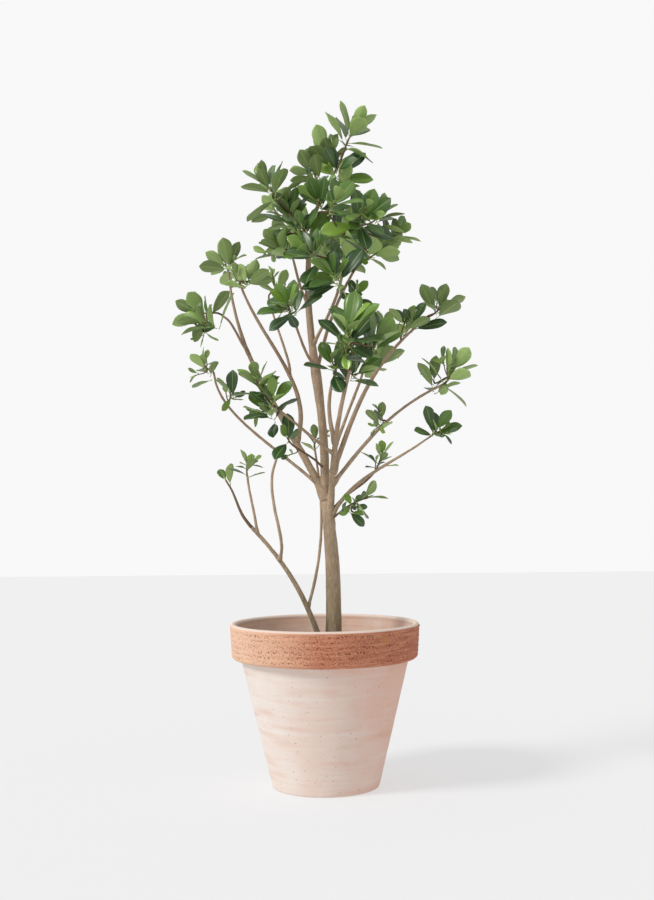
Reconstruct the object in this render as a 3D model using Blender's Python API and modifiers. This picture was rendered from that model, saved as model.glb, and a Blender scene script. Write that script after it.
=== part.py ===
"""Potted Chinese banyan: a young fig tree with several boughs in a tapered clay pot.

Metres, +Z up. The origin is the middle of the pot's flat underside. The tree is seen from -Y.
Headings are degrees round the vertical, 0 towards +X and 90 away from the viewer, and rises are
degrees above the level.
"""

import math
import random
from collections import namedtuple

import bmesh
import bpy
from mathutils import Vector
from mathutils.bvhtree import BVHTree

GAP = 0.0003  # clear space that touching pieces keep

# Pot
POT_HEIGHT = 0.2723
RIM_RADIUS = 0.160
RIM_FOOT_RADIUS = 0.157  # of the rim band at its lower edge
BAND_HEIGHT = 0.059
BAND_EDGE = 0.007  # rounding of the band's lower edge
BODY_TOP_RADIUS = 0.140
BODY_TOP = 0.206
FOOT_RADIUS = 0.0901
FOOT_EDGE = 0.0022
WALL = 0.011
FLOOR = 0.014
DRAIN_RADIUS = 0.006
DRAIN_RING = 0.045  # of the drain holes' centres
DRAINS = 3
TURNS = 36  # facets round the pot and the soil

# Soil
SOIL_TOP = 0.2350

# Trunk: height, sideways place and radius at each station, from the flat cut on the soil to the tip
TRUNK = (
    (0.2353, 0.015, 0.0162),
    (0.250, 0.015, 0.0144),
    (0.290, 0.0155, 0.0131),
    (0.360, 0.0145, 0.0124),
    (0.420, 0.0105, 0.0110),
    (0.490, 0.0035, 0.0082),
    (0.560, 0.002, 0.0076),
    (0.630, -0.003, 0.0072),
    (0.695, -0.011, 0.0088),
    (0.745, -0.017, 0.0066),
    (0.820, -0.023, 0.0058),
    (0.900, -0.0215, 0.0045),
    (0.960, -0.012, 0.0036),
    (1.000, 0.000, 0.0031),
    (1.045, 0.025, 0.0026),
)
TRUNK_STEP = 0.035  # between the rings of the trunk's mesh

# Boughs: the limb that carries each, the height at which it leaves that limb's middle, the heading and
# rise there, its tip, the heading and rise at the tip, and its radius at both ends
Limb = namedtuple("Limb", "name carrier height leaves tip arrives radii")
SIDE_STEM_FOOT = (-0.0075, -0.013)  # where the side stem comes out of the soil
BOW = 0.38  # how far each end's direction carries, as a share of the limb's straight length
LIMB_STEP = 0.024
LIMBS = (
    Limb("right_stem", "trunk", 0.425, (-60, 84), (0.045, -0.100, 0.690), (-40, 70), (0.0066, 0.0029)),
    Limb("left_bough", "trunk", 0.480, (180, 65), (-0.165, 0.060, 0.885), (170, 85), (0.0071, 0.0019)),
    Limb("left_inner_bough", "left_bough", 0.577, (40, 65), (-0.140, 0.000, 0.850), (190, 70),
         (0.0044, 0.0020)),
    Limb("far_left_bough", "left_bough", 0.734, (-135, 45), (-0.170, -0.010, 0.795), (-115, 5),
         (0.0026, 0.0018)),
    Limb("left_back_bough", "left_inner_bough", 0.695, (85, 20), (-0.095, 0.090, 0.840), (120, 65),
         (0.0026, 0.0018)),
    Limb("low_left_front_bough", "right_stem", 0.555, (-135, 25), (-0.070, -0.090, 0.625), (-140, 30),
         (0.0027, 0.0020)),
    Limb("low_left_bough", "trunk", 0.492, (-170, 45), (-0.180, -0.060, 0.690), (-90, 40),
         (0.0031, 0.0017)),
    Limb("side_stem", None, 0.2353, (-145, 70), (-0.120, -0.050, 0.435), (-155, 45), (0.0050, 0.0032)),
    Limb("side_stem_rear_shoot", "side_stem", 0.297, (35, 70), (-0.015, 0.045, 0.570), (125, 75),
         (0.0027, 0.0020)),
    Limb("side_stem_middle_shoot", "side_stem", 0.379, (-70, 35), (-0.075, -0.080, 0.550), (-5, 65),
         (0.0029, 0.0019)),
    Limb("side_stem_outer_shoot", "side_stem", 0.424, (-110, 75), (-0.125, -0.070, 0.520), (-110, 75),
         (0.0025, 0.0017)),
    Limb("centre_bough", "right_stem", 0.572, (-140, 70), (0.020, -0.050, 0.685), (-40, 65),
         (0.0039, 0.0025)),
    Limb("centre_back_bough", "right_stem", 0.556, (75, 45), (0.070, 0.060, 0.700), (85, 20),
         (0.0029, 0.0022)),
    Limb("high_right_bough", "right_stem", 0.523, (25, 68), (0.170, 0.040, 0.785), (0, 40),
         (0.0048, 0.0022)),
    Limb("middle_right_bough", "right_stem", 0.503, (-5, 52), (0.200, -0.030, 0.670), (-5, 25),
         (0.0037, 0.0019)),
    Limb("low_right_bough", "right_stem", 0.448, (-20, 60), (0.175, -0.060, 0.580), (-10, 35),
         (0.0039, 0.0016)),
    Limb("left_front_bough", "trunk", 0.705, (-130, 40), (-0.050, -0.090, 0.780), (-110, 30),
         (0.0026, 0.0019)),
    Limb("crown_front_bough", "trunk", 0.742, (-40, 55), (0.035, -0.050, 0.855), (-60, 65),
         (0.0031, 0.0024)),
    Limb("crown_right_bough", "trunk", 0.693, (45, 72), (0.055, 0.060, 0.880), (15, 60),
         (0.0034, 0.0025)),
    Limb("crown_left_bough", "trunk", 0.811, (-145, 55), (-0.050, -0.030, 0.895), (-120, 60),
         (0.0027, 0.0020)),
    Limb("crown_back_bough", "trunk", 0.850, (75, 40), (0.015, 0.090, 0.920), (60, 45),
         (0.0030, 0.0022)),
)

# Foliage masses: the limb that carries each, the height at which the stem leaves that limb or None where
# it goes on from the tip, the middle and half sizes of the mass's own space, its leafy shoots, the leaves
# on each, the length of a full leaf, the seed of its growth, and how far its shoots lean upwards
Mass = namedtuple("Mass", "name carrier height centre reach shoots leaves leaf seed lift", defaults=(0.5,))
MASSES = (
    Mass("foliage_top", "trunk", None, (0.050, 0.005, 1.105), (0.085, 0.065, 0.095), 3, 11, 0.070, 52),
    Mass("foliage_crown_left_upper", "trunk", 1.000, (-0.025, 0.020, 1.065), (0.052, 0.055, 0.055),
         1, 10, 0.060, 363),
    Mass("foliage_crown_middle", "trunk", 0.985, (0.015, -0.030, 1.020), (0.065, 0.065, 0.060),
         2, 10, 0.064, 67),
    Mass("foliage_crown_left", "trunk", 0.925, (-0.090, -0.050, 0.990), (0.072, 0.070, 0.075),
         2, 12, 0.064, 5),
    Mass("foliage_crown_inner", "trunk", 0.905, (-0.040, -0.025, 0.970), (0.060, 0.065, 0.060),
         2, 9, 0.062, 349),
    Mass("foliage_crown_right_front", "trunk", 0.965, (0.060, -0.095, 0.940), (0.075, 0.075, 0.080),
         3, 10, 0.066, 300),
    Mass("foliage_crown_right", "trunk", 0.940, (0.128, 0.030, 0.950), (0.065, 0.075, 0.088),
         3, 10, 0.060, 389),
    Mass("foliage_crown_front", "crown_front_bough", None, (-0.003, -0.110, 0.872),
         (0.078, 0.070, 0.070), 2, 12, 0.070, 315),
    Mass("foliage_crown_left_low", "crown_left_bough", None, (-0.070, -0.040, 0.920),
         (0.058, 0.060, 0.048), 1, 12, 0.062, 4),
    Mass("foliage_crown_right_low", "crown_right_bough", None, (0.085, 0.060, 0.925),
         (0.070, 0.065, 0.050), 2, 9, 0.058, 370),
    Mass("foliage_crown_right_small", "crown_right_bough", 0.840, (0.068, 0.030, 0.840),
         (0.042, 0.040, 0.035), 1, 5, 0.044, 45),
    Mass("foliage_crown_back_left", "trunk", 0.885, (-0.055, 0.110, 0.985), (0.075, 0.070, 0.075),
         3, 9, 0.062, 134),
    Mass("foliage_crown_back_right", "crown_back_bough", None, (0.040, 0.140, 0.955),
         (0.085, 0.070, 0.080), 3, 10, 0.062, 308),
    Mass("foliage_left_high", "left_bough", None, (-0.183, 0.070, 0.908), (0.062, 0.060, 0.062),
         1, 14, 0.056, 242),
    Mass("foliage_left_middle", "left_inner_bough", None, (-0.122, 0.000, 0.872),
         (0.048, 0.050, 0.048), 1, 10, 0.054, 190),
    Mass("foliage_left_far", "far_left_bough", None, (-0.207, -0.030, 0.802), (0.075, 0.065, 0.060),
         2, 9, 0.066, 148, 0.35),
    Mass("foliage_left_front", "left_front_bough", None, (-0.055, -0.120, 0.798),
         (0.058, 0.060, 0.052), 1, 12, 0.062, 315),
    Mass("foliage_left_back", "left_back_bough", None, (-0.085, 0.100, 0.875), (0.040, 0.035, 0.042),
         1, 6, 0.046, 301),
    Mass("foliage_low_left_tip", "low_left_bough", None, (-0.195, -0.060, 0.700),
         (0.058, 0.042, 0.044), 1, 5, 0.052, 167, 0.3),
    Mass("foliage_low_left_side", "low_left_bough", 0.640, (-0.158, -0.050, 0.672),
         (0.036, 0.036, 0.046), 1, 3, 0.058, 279),
    Mass("foliage_low_left_front", "low_left_front_bough", None, (-0.100, -0.110, 0.655),
         (0.065, 0.055, 0.080), 3, 8, 0.058, 112),
    Mass("foliage_low_left_pair", "trunk", 0.530, (-0.065, -0.090, 0.590), (0.045, 0.042, 0.050),
         1, 5, 0.052, 351, 0.1),
    Mass("foliage_low_centre", "side_stem_rear_shoot", None, (-0.022, 0.045, 0.600),
         (0.036, 0.040, 0.050), 1, 5, 0.048, 277),
    Mass("foliage_side_outer", "side_stem_outer_shoot", None, (-0.127, -0.070, 0.540),
         (0.042, 0.038, 0.036), 1, 5, 0.042, 71),
    Mass("foliage_side_end", "side_stem", None, (-0.170, -0.030, 0.520), (0.042, 0.032, 0.030),
         1, 3, 0.044, 216),
    Mass("foliage_centre_front", "right_stem", None, (0.065, -0.150, 0.748), (0.080, 0.065, 0.068),
         2, 12, 0.078, 356),
    Mass("foliage_centre", "centre_bough", None, (0.040, -0.090, 0.698), (0.075, 0.055, 0.055),
         2, 9, 0.064, 356),
    Mass("foliage_centre_back", "centre_back_bough", None, (0.090, 0.110, 0.770),
         (0.070, 0.070, 0.070), 3, 8, 0.060, 335),
    Mass("foliage_right_high", "high_right_bough", None, (0.200, 0.050, 0.822),
         (0.078, 0.060, 0.064), 2, 8, 0.062, 343),
    Mass("foliage_right_high_small", "high_right_bough", 0.755, (0.155, 0.035, 0.800),
         (0.050, 0.045, 0.050), 1, 6, 0.054, 54),
    Mass("foliage_right_middle", "middle_right_bough", None, (0.215, -0.030, 0.695),
         (0.072, 0.060, 0.066), 2, 8, 0.064, 361),
    Mass("foliage_right_low", "low_right_bough", None, (0.185, -0.080, 0.605),
         (0.048, 0.040, 0.048), 1, 8, 0.052, 399),
    Mass("foliage_right_inner", "middle_right_bough", 0.610, (0.105, -0.030, 0.625),
         (0.058, 0.045, 0.045), 1, 7, 0.044, 321),
    Mass("foliage_right_back", "trunk", 0.453, (0.100, 0.060, 0.560), (0.055, 0.040, 0.036),
         1, 7, 0.042, 237),
    Mass("foliage_right_hanging", "right_stem", 0.443, (0.067, -0.050, 0.475), (0.052, 0.045, 0.058),
         2, 4, 0.050, 342, 0.0),
)

# Growth rule
GOLDEN_TURN = 137.5  # degrees from each leaf, and each shoot, to the next
SHOOT_SPREAD = 0.45  # of the shoots' tips, as a share of the mass's half sizes
LEAFY_LENGTH = 0.45  # of a shoot's leafy end, as a share of a full leaf
OPEN_OLD = 84  # degrees between the shoot and its oldest leaf
OPEN_YOUNG = 20
YOUNG_SHARE = 0.72  # length of the youngest leaf against a full one
LEAF_TRIES = 7
TWIG_TRIES = 10
TWIG_RADIUS = 0.0015
STEM_RADIUS = 0.0020
TWIG_POINTS = 6
BLADE_FROM = 0.22  # where the blade begins along the leaf, past the leaf's stalk

# Leaf: half width as a share of the length at two sections along it, between the root and the tip
LEAF_SECTIONS = ((0.40, 0.185), (0.74, 0.215))
LEAF_THICKNESS = 0.014
LEAF_DROOP = 0.10  # how far the tip bends down, as a share of the length
LEAF_FOLD = 0.22  # rise of the edges over the midrib, as a share of the half width
ROOT_HALF = 0.0009
CLEARANCE = 0.0006

Leaf = namedtuple("Leaf", "base direction face length")
Twig = namedtuple("Twig", "points radii")


def heading(turn, rise):
    """Unit vector of a heading and a rise in degrees."""
    turn, rise = math.radians(turn), math.radians(rise)
    return Vector((math.cos(turn) * math.cos(rise), math.sin(turn) * math.cos(rise), math.sin(rise)))


def bezier(start, leaving, end, arriving, count):
    """Points along a cubic curve between two places with a direction at each."""
    reach = BOW * (end - start).length
    first, second = start + leaving * reach, end - arriving * reach
    points = []
    for step in range(count):
        t = step / (count - 1)
        s = 1 - t
        points.append(start * s**3 + first * (3 * s * s * t) + second * (3 * s * t * t) + end * t**3)
    return points


def trunk_path():
    """Centre line and radii of the trunk, smoothed between its stations."""
    stations = [Vector((x, 0.0, z, radius)) for z, x, radius in TRUNK]
    ends = [stations[0] * 2 - stations[1]] + stations + [stations[-1] * 2 - stations[-2]]
    points, radii = [], []
    for i in range(len(stations) - 1):
        before, here, there, after = ends[i : i + 4]
        pieces = max(1, round((there.z - here.z) / TRUNK_STEP))
        for piece in range(pieces):
            t = piece / pieces
            spot = 0.5 * (
                2 * here
                + (there - before) * t
                + (2 * before - 5 * here + 4 * there - after) * t * t
                + (3 * here - before - 3 * there + after) * t**3
            )
            points.append(Vector(spot[:3]))
            radii.append(spot[3])
    points.append(Vector(stations[-1][:3]))
    radii.append(stations[-1][3])
    return Twig(points, radii)


def place_at(path, height):
    """Middle of a limb at a height."""
    for lower, upper in zip(path.points, path.points[1:]):
        if lower.z <= height <= upper.z:
            return lower.lerp(upper, (height - lower.z) / (upper.z - lower.z))
    raise ValueError(f"no part of the limb is {height} m high")


def rooted_in(spot, paths):
    """Names of the limbs that a place lies in or next to."""
    names = []
    for name, path in paths.items():
        for point, radius in zip(path.points, path.radii):
            if (point - spot).length < radius + LIMB_STEP / 2:
                names.append(name)
                break
    return names


def limb_path(limb, paths):
    """Centre line and radii of a bough. A stem that starts on the soil begins upright."""
    if limb.carrier:
        start = place_at(paths[limb.carrier], limb.height)
        points = []
    else:
        points = [Vector((*SIDE_STEM_FOOT, limb.height))]
        start = points[0] + Vector((0, 0, limb.radii[0]))
    end = Vector(limb.tip)
    count = max(5, round((end - start).length / LIMB_STEP) + 1)
    points += bezier(start, heading(*limb.leaves), end, heading(*limb.arrives), count)
    lengths = [0.0]
    for a, b in zip(points, points[1:]):
        lengths.append(lengths[-1] + (b - a).length)
    base, tip = limb.radii
    radii = [base + (tip - base) * length / lengths[-1] for length in lengths]
    return Twig(points, radii)


def all_paths():
    """Centre lines of the trunk and of every bough, by name."""
    paths = {"trunk": trunk_path()}
    for limb in LIMBS:
        paths[limb.name] = limb_path(limb, paths)
    return paths


def ring_solid(rings, closed_ends=True):
    """Points and faces of a loft through rings of the same number of points. A ring of one is a tip."""
    points, faces = [], []
    starts = []
    for ring in rings:
        starts.append(len(points))
        points.extend(ring)
    size = len(rings[0])
    for (a, low), (b, high) in zip(zip(starts, rings), list(zip(starts, rings))[1:]):
        for i in range(size):
            j = (i + 1) % size
            if len(high) == 1:
                faces.append((a + i, a + j, b))
            else:
                faces.append((a + i, a + j, b + j, b + i))
    if closed_ends:
        faces.append(tuple(reversed(range(size))))
        if len(rings[-1]) > 1:
            faces.append(tuple(range(starts[-1], starts[-1] + size)))
    return points, faces


def leaf_side(leaf):
    return leaf.face.cross(leaf.direction)


def leaf_spot(leaf, along, across, under=0.0):
    """A place on a leaf: along it from 0 to 1, then metres across and under the blade."""
    length = leaf.length
    rise = LEAF_FOLD * abs(across) - LEAF_DROOP * length * along * along - under
    return leaf.base + leaf.direction * (length * along) + leaf_side(leaf) * across + leaf.face * rise


def leaf_solid(leaf, swell=0.0, start=0.0):
    """A leaf as a thin loft with a keel. It can be swollen, to test what lies near it."""
    half = ROOT_HALF + swell
    rings = [[leaf_spot(leaf, start, half), leaf_spot(leaf, start, -half), leaf_spot(leaf, start, 0, half * 2)]]
    for along, share in LEAF_SECTIONS:
        half = share * leaf.length + swell
        under = max(LEAF_THICKNESS * leaf.length, ROOT_HALF) + swell
        rings.append([
            leaf_spot(leaf, along, half, -swell),
            leaf_spot(leaf, along, -half, -swell),
            leaf_spot(leaf, along, 0, under),
        ])
    rings.append([leaf_spot(leaf, 1.0, 0)])
    return ring_solid(rings)


def twig_solid(twig, swell=0.0):
    """A square tube round a twig, to test what lies near it."""
    rings = []
    for i, (spot, radius) in enumerate(zip(twig.points, twig.radii)):
        run = twig.points[min(i + 1, len(twig.points) - 1)] - twig.points[max(i - 1, 0)]
        across = run.cross(Vector((0.31, 0.17, 0.05))).normalized()
        other = run.cross(across).normalized()
        rings.append([
            spot + (across * a + other * b) * (radius + swell)
            for a, b in ((1, 1), (-1, 1), (-1, -1), (1, -1))
        ])
    return ring_solid(rings)


class Crowding:
    """What already stands near a new twig or leaf: the limbs, and the leaves and twigs placed so far."""

    def __init__(self, limb_trees):
        self.limbs = limb_trees
        self.placed = []

    def add(self, owner, solid, blade=None):
        """Notes a placed piece. Pieces of its own mass need only keep clear of its blade."""
        points, faces = solid
        centre = sum(points, Vector()) / len(points)
        radius = max((p - centre).length for p in points)
        whole = BVHTree.FromPolygons(points, faces)
        self.placed.append((owner, whole, BVHTree.FromPolygons(*blade) if blade else whole, centre, radius))

    def meets(self, owner, solid, spared=(), own=False):
        """Whether a solid touches a limb, another owner's piece or, with own, a piece of its owner."""
        points, faces = solid
        tree = BVHTree.FromPolygons(points, faces)
        for name, limb in self.limbs.items():
            if name not in spared and tree.overlap(limb):
                return True
        centre = sum(points, Vector()) / len(points)
        radius = max((p - centre).length for p in points)
        for other, whole, blade, middle, size in self.placed:
            if (other == owner) != own or (middle - centre).length > radius + size:
                continue
            if tree.overlap(blade if own else whole):
                return True
        return False


def within(mass, points):
    """Whether all the points lie in the mass's own space."""
    centre, reach = Vector(mass.centre), Vector(mass.reach)
    for point in points:
        offset = point - centre
        if (offset.x / reach.x) ** 2 + (offset.y / reach.y) ** 2 + (offset.z / reach.z) ** 2 > 1:
            return False
    return True


def shoot_tips(mass, start, rng):
    """Where the shoots of a mass end, and the way each faces there."""
    centre, reach = Vector(mass.centre), Vector(mass.reach)
    inward = (start - centre).normalized() * min(reach)
    turn = rng.uniform(0, 360)
    tips = []
    for number in range(mass.shoots):
        level = 1 - 2 * (number + 0.5) / mass.shoots
        wide = math.sqrt(1 - level * level) if mass.shoots > 1 else 0.0
        angle = math.radians(turn + number * GOLDEN_TURN)
        jitter = Vector([rng.uniform(-0.2, 0.2) for _ in range(3)])
        offset = Vector((wide * math.cos(angle), wide * math.sin(angle), level)) * SHOOT_SPREAD + jitter
        tip = centre + Vector(a * b for a, b in zip(offset, reach)) + inward * 0.25
        outward = (tip - start).normalized() * 0.55 + Vector((tip.x, tip.y, 0)).normalized() * 0.25
        sway = Vector([rng.uniform(-0.35, 0.35) for _ in range(3)])
        tips.append((tip, (outward + Vector((0, 0, mass.lift)) + sway).normalized()))
    return tips


def shoot_leaves(mass, tip, axis, rng, crowding, placed):
    """Leaves in a spiral round the end of a shoot, the oldest widest open. A leaf with no room is left out."""
    side = axis.cross(Vector((0.2, -0.9, 0.1))).normalized()
    other = axis.cross(side)
    turn = rng.uniform(0, 360)
    for number in range(mass.leaves):
        youth = number / max(1, mass.leaves - 1)
        base = tip - axis * (mass.leaf * LEAFY_LENGTH * (1 - youth) + 0.003)
        for attempt in range(LEAF_TRIES):
            spin = math.radians(turn + number * GOLDEN_TURN + rng.uniform(-1, 1) * (12 + 9 * attempt))
            opened = math.radians(OPEN_OLD + (OPEN_YOUNG - OPEN_OLD) * youth + rng.uniform(-12, 12))
            length = mass.leaf * (1 + (YOUNG_SHARE - 1) * youth) * rng.uniform(0.84, 1.12) * 0.95**attempt
            out = side * math.cos(spin) + other * math.sin(spin)
            direction = axis * math.cos(opened) + out * math.sin(opened) + Vector((0, 0, mass.lift * 0.25))
            direction.normalize()
            up = axis * math.sin(opened) - out * math.cos(opened)
            up += Vector((0, 0, 0.35)) + Vector([rng.uniform(-0.25, 0.25) for _ in range(3)])
            face = (up - direction * up.dot(direction)).normalized()
            leaf = Leaf(base, direction, face, length)
            swollen = leaf_solid(leaf, CLEARANCE, BLADE_FROM)
            if not within(mass, swollen[0]):
                continue
            if crowding.meets(mass.name, leaf_solid(leaf, CLEARANCE)):
                continue
            if crowding.meets(mass.name, swollen, own=True):
                continue
            crowding.add(mass.name, leaf_solid(leaf), leaf_solid(leaf, 0.0, BLADE_FROM))
            placed.append(leaf)
            break


def grow(mass, paths, crowding):
    """Twigs and leaves of one mass: a stem to the first shoot's tip, side twigs to the others."""
    rng = random.Random(mass.seed)
    carrier = paths[mass.carrier]
    if mass.height is None:
        leaving = (carrier.points[-1] - carrier.points[-2]).normalized()
        start = carrier.points[-1] + leaving * GAP
        stem_radius = carrier.radii[-1]
    else:
        start = place_at(carrier, mass.height)
        leaving = None
        stem_radius = STEM_RADIUS
    twigs, leaves = [], []
    for tip, axis in shoot_tips(mass, start, rng):
        for attempt in range(TWIG_TRIES):
            if twigs:
                root = twigs[0].points[rng.choice((3, 4))]
                way = (tip - root).normalized() + axis * 0.2
            else:
                root = start
                way = leaving or (tip - start).normalized() + Vector((0, 0, 0.25))
            shaken = Vector([rng.uniform(-0.12, 0.12) for _ in range(3)]) * attempt
            if not leaving or twigs:
                way = way + shaken
            tried = (axis + shaken).normalized()
            thick = TWIG_RADIUS if twigs else stem_radius
            lead = root + way.normalized() * thick
            points = [root] + bezier(lead, way.normalized(), tip, tried, TWIG_POINTS)
            radii = [thick + (TWIG_RADIUS - thick) * i / TWIG_POINTS for i in range(TWIG_POINTS + 1)]
            twig = Twig(points, radii)
            free = Twig(points[2:], radii[2:])
            spared = () if twigs or mass.height is None else rooted_in(start, paths)
            if not crowding.meets(mass.name, twig_solid(free, CLEARANCE), spared):
                break
        else:
            if twigs:
                continue
        crowding.add(mass.name, twig_solid(twig))
        twigs.append(twig)
        shoot_leaves(mass, tip, tried, rng, crowding, leaves)
    return twigs, leaves


def clear_scene():
    for obj in list(bpy.data.objects):
        bpy.data.objects.remove(obj, do_unlink=True)


def collection(name):
    group = bpy.data.collections.new(name)
    bpy.context.scene.collection.children.link(group)
    return group


def material(name, colour, roughness):
    """A plain surface in a colour given as sRGB 0 to 1."""
    made = bpy.data.materials.new(name)
    made.use_nodes = True
    shader = made.node_tree.nodes["Principled BSDF"]
    linear = [c / 12.92 if c <= 0.04045 else ((c + 0.055) / 1.055) ** 2.4 for c in colour]
    shader.inputs["Base Color"].default_value = (*linear, 1)
    shader.inputs["Roughness"].default_value = roughness
    shader.inputs["Metallic"].default_value = 0.0
    return made


def mesh_object(name, solid, group, location=None):
    points, faces = solid
    at = Vector(location or (0, 0, 0))
    mesh = bpy.data.meshes.new(name)
    mesh.from_pydata([p - at for p in points], [], faces)
    obj = bpy.data.objects.new(name, mesh)
    obj.location = at
    group.objects.link(obj)
    return obj


def main_body(mesh):
    """Keeps the largest body of a mesh, which drops loose scraps and fills sealed hollows."""
    work = bmesh.new()
    work.from_mesh(mesh)
    left = set(work.faces)
    bodies = []
    while left:
        first = left.pop()
        body, queue = [first], [first]
        while queue:
            for edge in queue.pop().edges:
                for face in edge.link_faces:
                    if face in left:
                        left.remove(face)
                        body.append(face)
                        queue.append(face)
        bodies.append(body)
    bodies.sort(key=len, reverse=True)
    scraps = [face for body in bodies[1:] for face in body]
    bmesh.ops.delete(work, geom=scraps, context="FACES")
    closed = all(len(edge.link_faces) == 2 for edge in work.edges)
    work.to_mesh(mesh)
    work.free()
    return closed


def settle(obj):
    """Puts the object's modifiers into its mesh and keeps its main body."""
    bpy.context.view_layer.update()
    graph = bpy.context.evaluated_depsgraph_get()
    mesh = bpy.data.meshes.new_from_object(obj.evaluated_get(graph))
    closed = main_body(mesh)
    obj.modifiers.clear()
    obj.data = mesh
    return closed


def tube(name, path, detail, group, swell=0.0):
    """A tapering limb as a solid: a bevelled curve with filled caps, made a mesh."""
    start = path.points[0]
    points, radii = list(path.points), list(path.radii)
    if swell:
        points.append(points[-1] + (points[-1] - points[-2]).normalized() * swell)
        radii.append(radii[-1])
    curve = bpy.data.curves.new(name, "CURVE")
    curve.dimensions = "3D"
    curve.bevel_depth = max(radii) + swell
    curve.bevel_resolution = detail
    curve.use_fill_caps = True
    line = curve.splines.new("POLY")
    line.points.add(len(points) - 1)
    for spot, place, radius in zip(line.points, points, radii):
        spot.co = (*(place - start), 1)
        spot.radius = (radius + swell) / curve.bevel_depth
    guide = bpy.data.objects.new(name + " curve", curve)
    guide.location = start
    group.objects.link(guide)
    bpy.context.view_layer.update()
    graph = bpy.context.evaluated_depsgraph_get()
    mesh = bpy.data.meshes.new_from_object(guide.evaluated_get(graph))
    work = bmesh.new()
    work.from_mesh(mesh)
    bmesh.ops.remove_doubles(work, verts=work.verts, dist=1e-6)
    bmesh.ops.recalc_face_normals(work, faces=work.faces)
    work.to_mesh(mesh)
    work.free()
    obj = bpy.data.objects.new(name, mesh)
    obj.matrix_world = guide.matrix_world
    group.objects.link(obj)
    bpy.data.objects.remove(guide, do_unlink=True)
    bpy.data.curves.remove(curve)
    return obj


def turned(name, profile, group):
    """A solid of revolution from (radius, height) pairs."""
    mesh = bpy.data.meshes.new(name)
    count = len(profile)
    mesh.from_pydata([(r, 0, z) for r, z in profile], [(i, i + 1) for i in range(count - 1)], [])
    obj = bpy.data.objects.new(name, mesh)
    group.objects.link(obj)
    screw = obj.modifiers.new("Turn", "SCREW")
    screw.steps = screw.render_steps = TURNS
    screw.use_merge_vertices = True
    screw.merge_threshold = 1e-5
    return obj


def arc(centre, radius, start, end, count):
    """Points of an arc in the (radius, height) plane, between two angles in degrees."""
    points = []
    for i in range(count):
        angle = math.radians(start + (end - start) * i / (count - 1))
        points.append((centre[0] + radius * math.cos(angle), centre[1] + radius * math.sin(angle)))
    return points


def inner_radius(height):
    """Radius of the pot's inside wall at a height."""
    foot = FOOT_RADIUS - WALL
    shoulder = BODY_TOP_RADIUS - WALL
    if height <= BODY_TOP:
        return foot + (shoulder - foot) * height / BODY_TOP
    mouth = RIM_RADIUS - WALL
    return shoulder + (mouth - shoulder) * (height - BODY_TOP) / (POT_HEIGHT - WALL / 2 - BODY_TOP)


def build_pot(group, cutters, clay):
    """Tapered body with a deep rim band, a rounded lip and drain holes. Turned up the inside, over the lip
    and down the outside."""
    band_foot = POT_HEIGHT - BAND_HEIGHT
    lip = WALL / 2
    profile = [(0, FLOOR), (inner_radius(FLOOR), FLOOR), (inner_radius(BODY_TOP), BODY_TOP)]
    profile += arc((RIM_RADIUS - lip, POT_HEIGHT - lip), lip, 180, 0, 5)
    profile += arc((RIM_FOOT_RADIUS - BAND_EDGE, band_foot + BAND_EDGE), BAND_EDGE, 0, -90, 4)
    profile += [(BODY_TOP_RADIUS + 0.002, band_foot - 0.0012), (BODY_TOP_RADIUS, BODY_TOP)]
    profile += [(FOOT_RADIUS + 0.0004, FOOT_EDGE), (FOOT_RADIUS - FOOT_EDGE, 0), (0, 0)]
    pot = turned("pot", profile, group)
    for number in range(DRAINS):
        bpy.ops.mesh.primitive_cylinder_add(vertices=12, radius=DRAIN_RADIUS, depth=FLOOR * 3)
        hole = bpy.context.object
        hole.name = f"drain_cutter_{number}"
        angle = 2 * math.pi * (number + 0.5) / DRAINS
        hole.location = (DRAIN_RING * math.cos(angle), DRAIN_RING * math.sin(angle), 0)
        move_to(hole, cutters)
        subtract(pot, hole)
    settle(pot)
    dress(pot, clay)
    return pot


def build_soil(group, earth):
    """Potting soil that fills the pot to below its rim."""
    bottom = FLOOR + GAP
    wall_gap = GAP * 1.1
    profile = [(0, SOIL_TOP), (inner_radius(SOIL_TOP) - wall_gap, SOIL_TOP)]
    profile += [(inner_radius(BODY_TOP) - wall_gap, BODY_TOP), (inner_radius(bottom) - wall_gap, bottom), (0, bottom)]
    soil = turned("soil", profile, group)
    settle(soil)
    dress(soil, earth)
    return soil


def move_to(obj, group):
    for other in list(obj.users_collection):
        other.objects.unlink(obj)
    group.objects.link(obj)
    obj.hide_render = True
    obj.display_type = "WIRE"


def subtract(obj, cutter):
    cut = obj.modifiers.new("Cut", "BOOLEAN")
    cut.operation = "DIFFERENCE"
    cut.solver = "EXACT"
    cut.object = cutter


def dress(obj, surface):
    obj.data.materials.clear()
    obj.data.materials.append(surface)
    obj.data.shade_smooth()
    obj.data.set_sharp_from_angle(angle=math.radians(40))


def tree_of(obj):
    """The object's faces in world space, for tests of what meets what."""
    matrix = obj.matrix_world
    return BVHTree.FromPolygons(
        [matrix @ v.co for v in obj.data.vertices], [tuple(f.vertices) for f in obj.data.polygons]
    )


def build_limbs(paths, group, cutters, bark):
    """Trunk and boughs. Each later limb is cut clear of the earlier ones that it grows from or leans on."""
    limbs, guards = {}, {}
    for name, path in paths.items():
        detail = 4 if name == "trunk" else 2 if path.radii[0] > 0.0035 else 1
        limb = tube(name, path, detail, group)
        guard = tube(name + "_guard", path, detail, cutters, swell=GAP)
        move_to(guard, cutters)
        mine = tree_of(limb)
        for other, earlier in guards.items():
            if mine.overlap(tree_of(earlier)):
                subtract(limb, earlier)
        settle(limb)
        dress(limb, bark)
        limbs[name], guards[name] = limb, guard
    return limbs, guards


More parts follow.
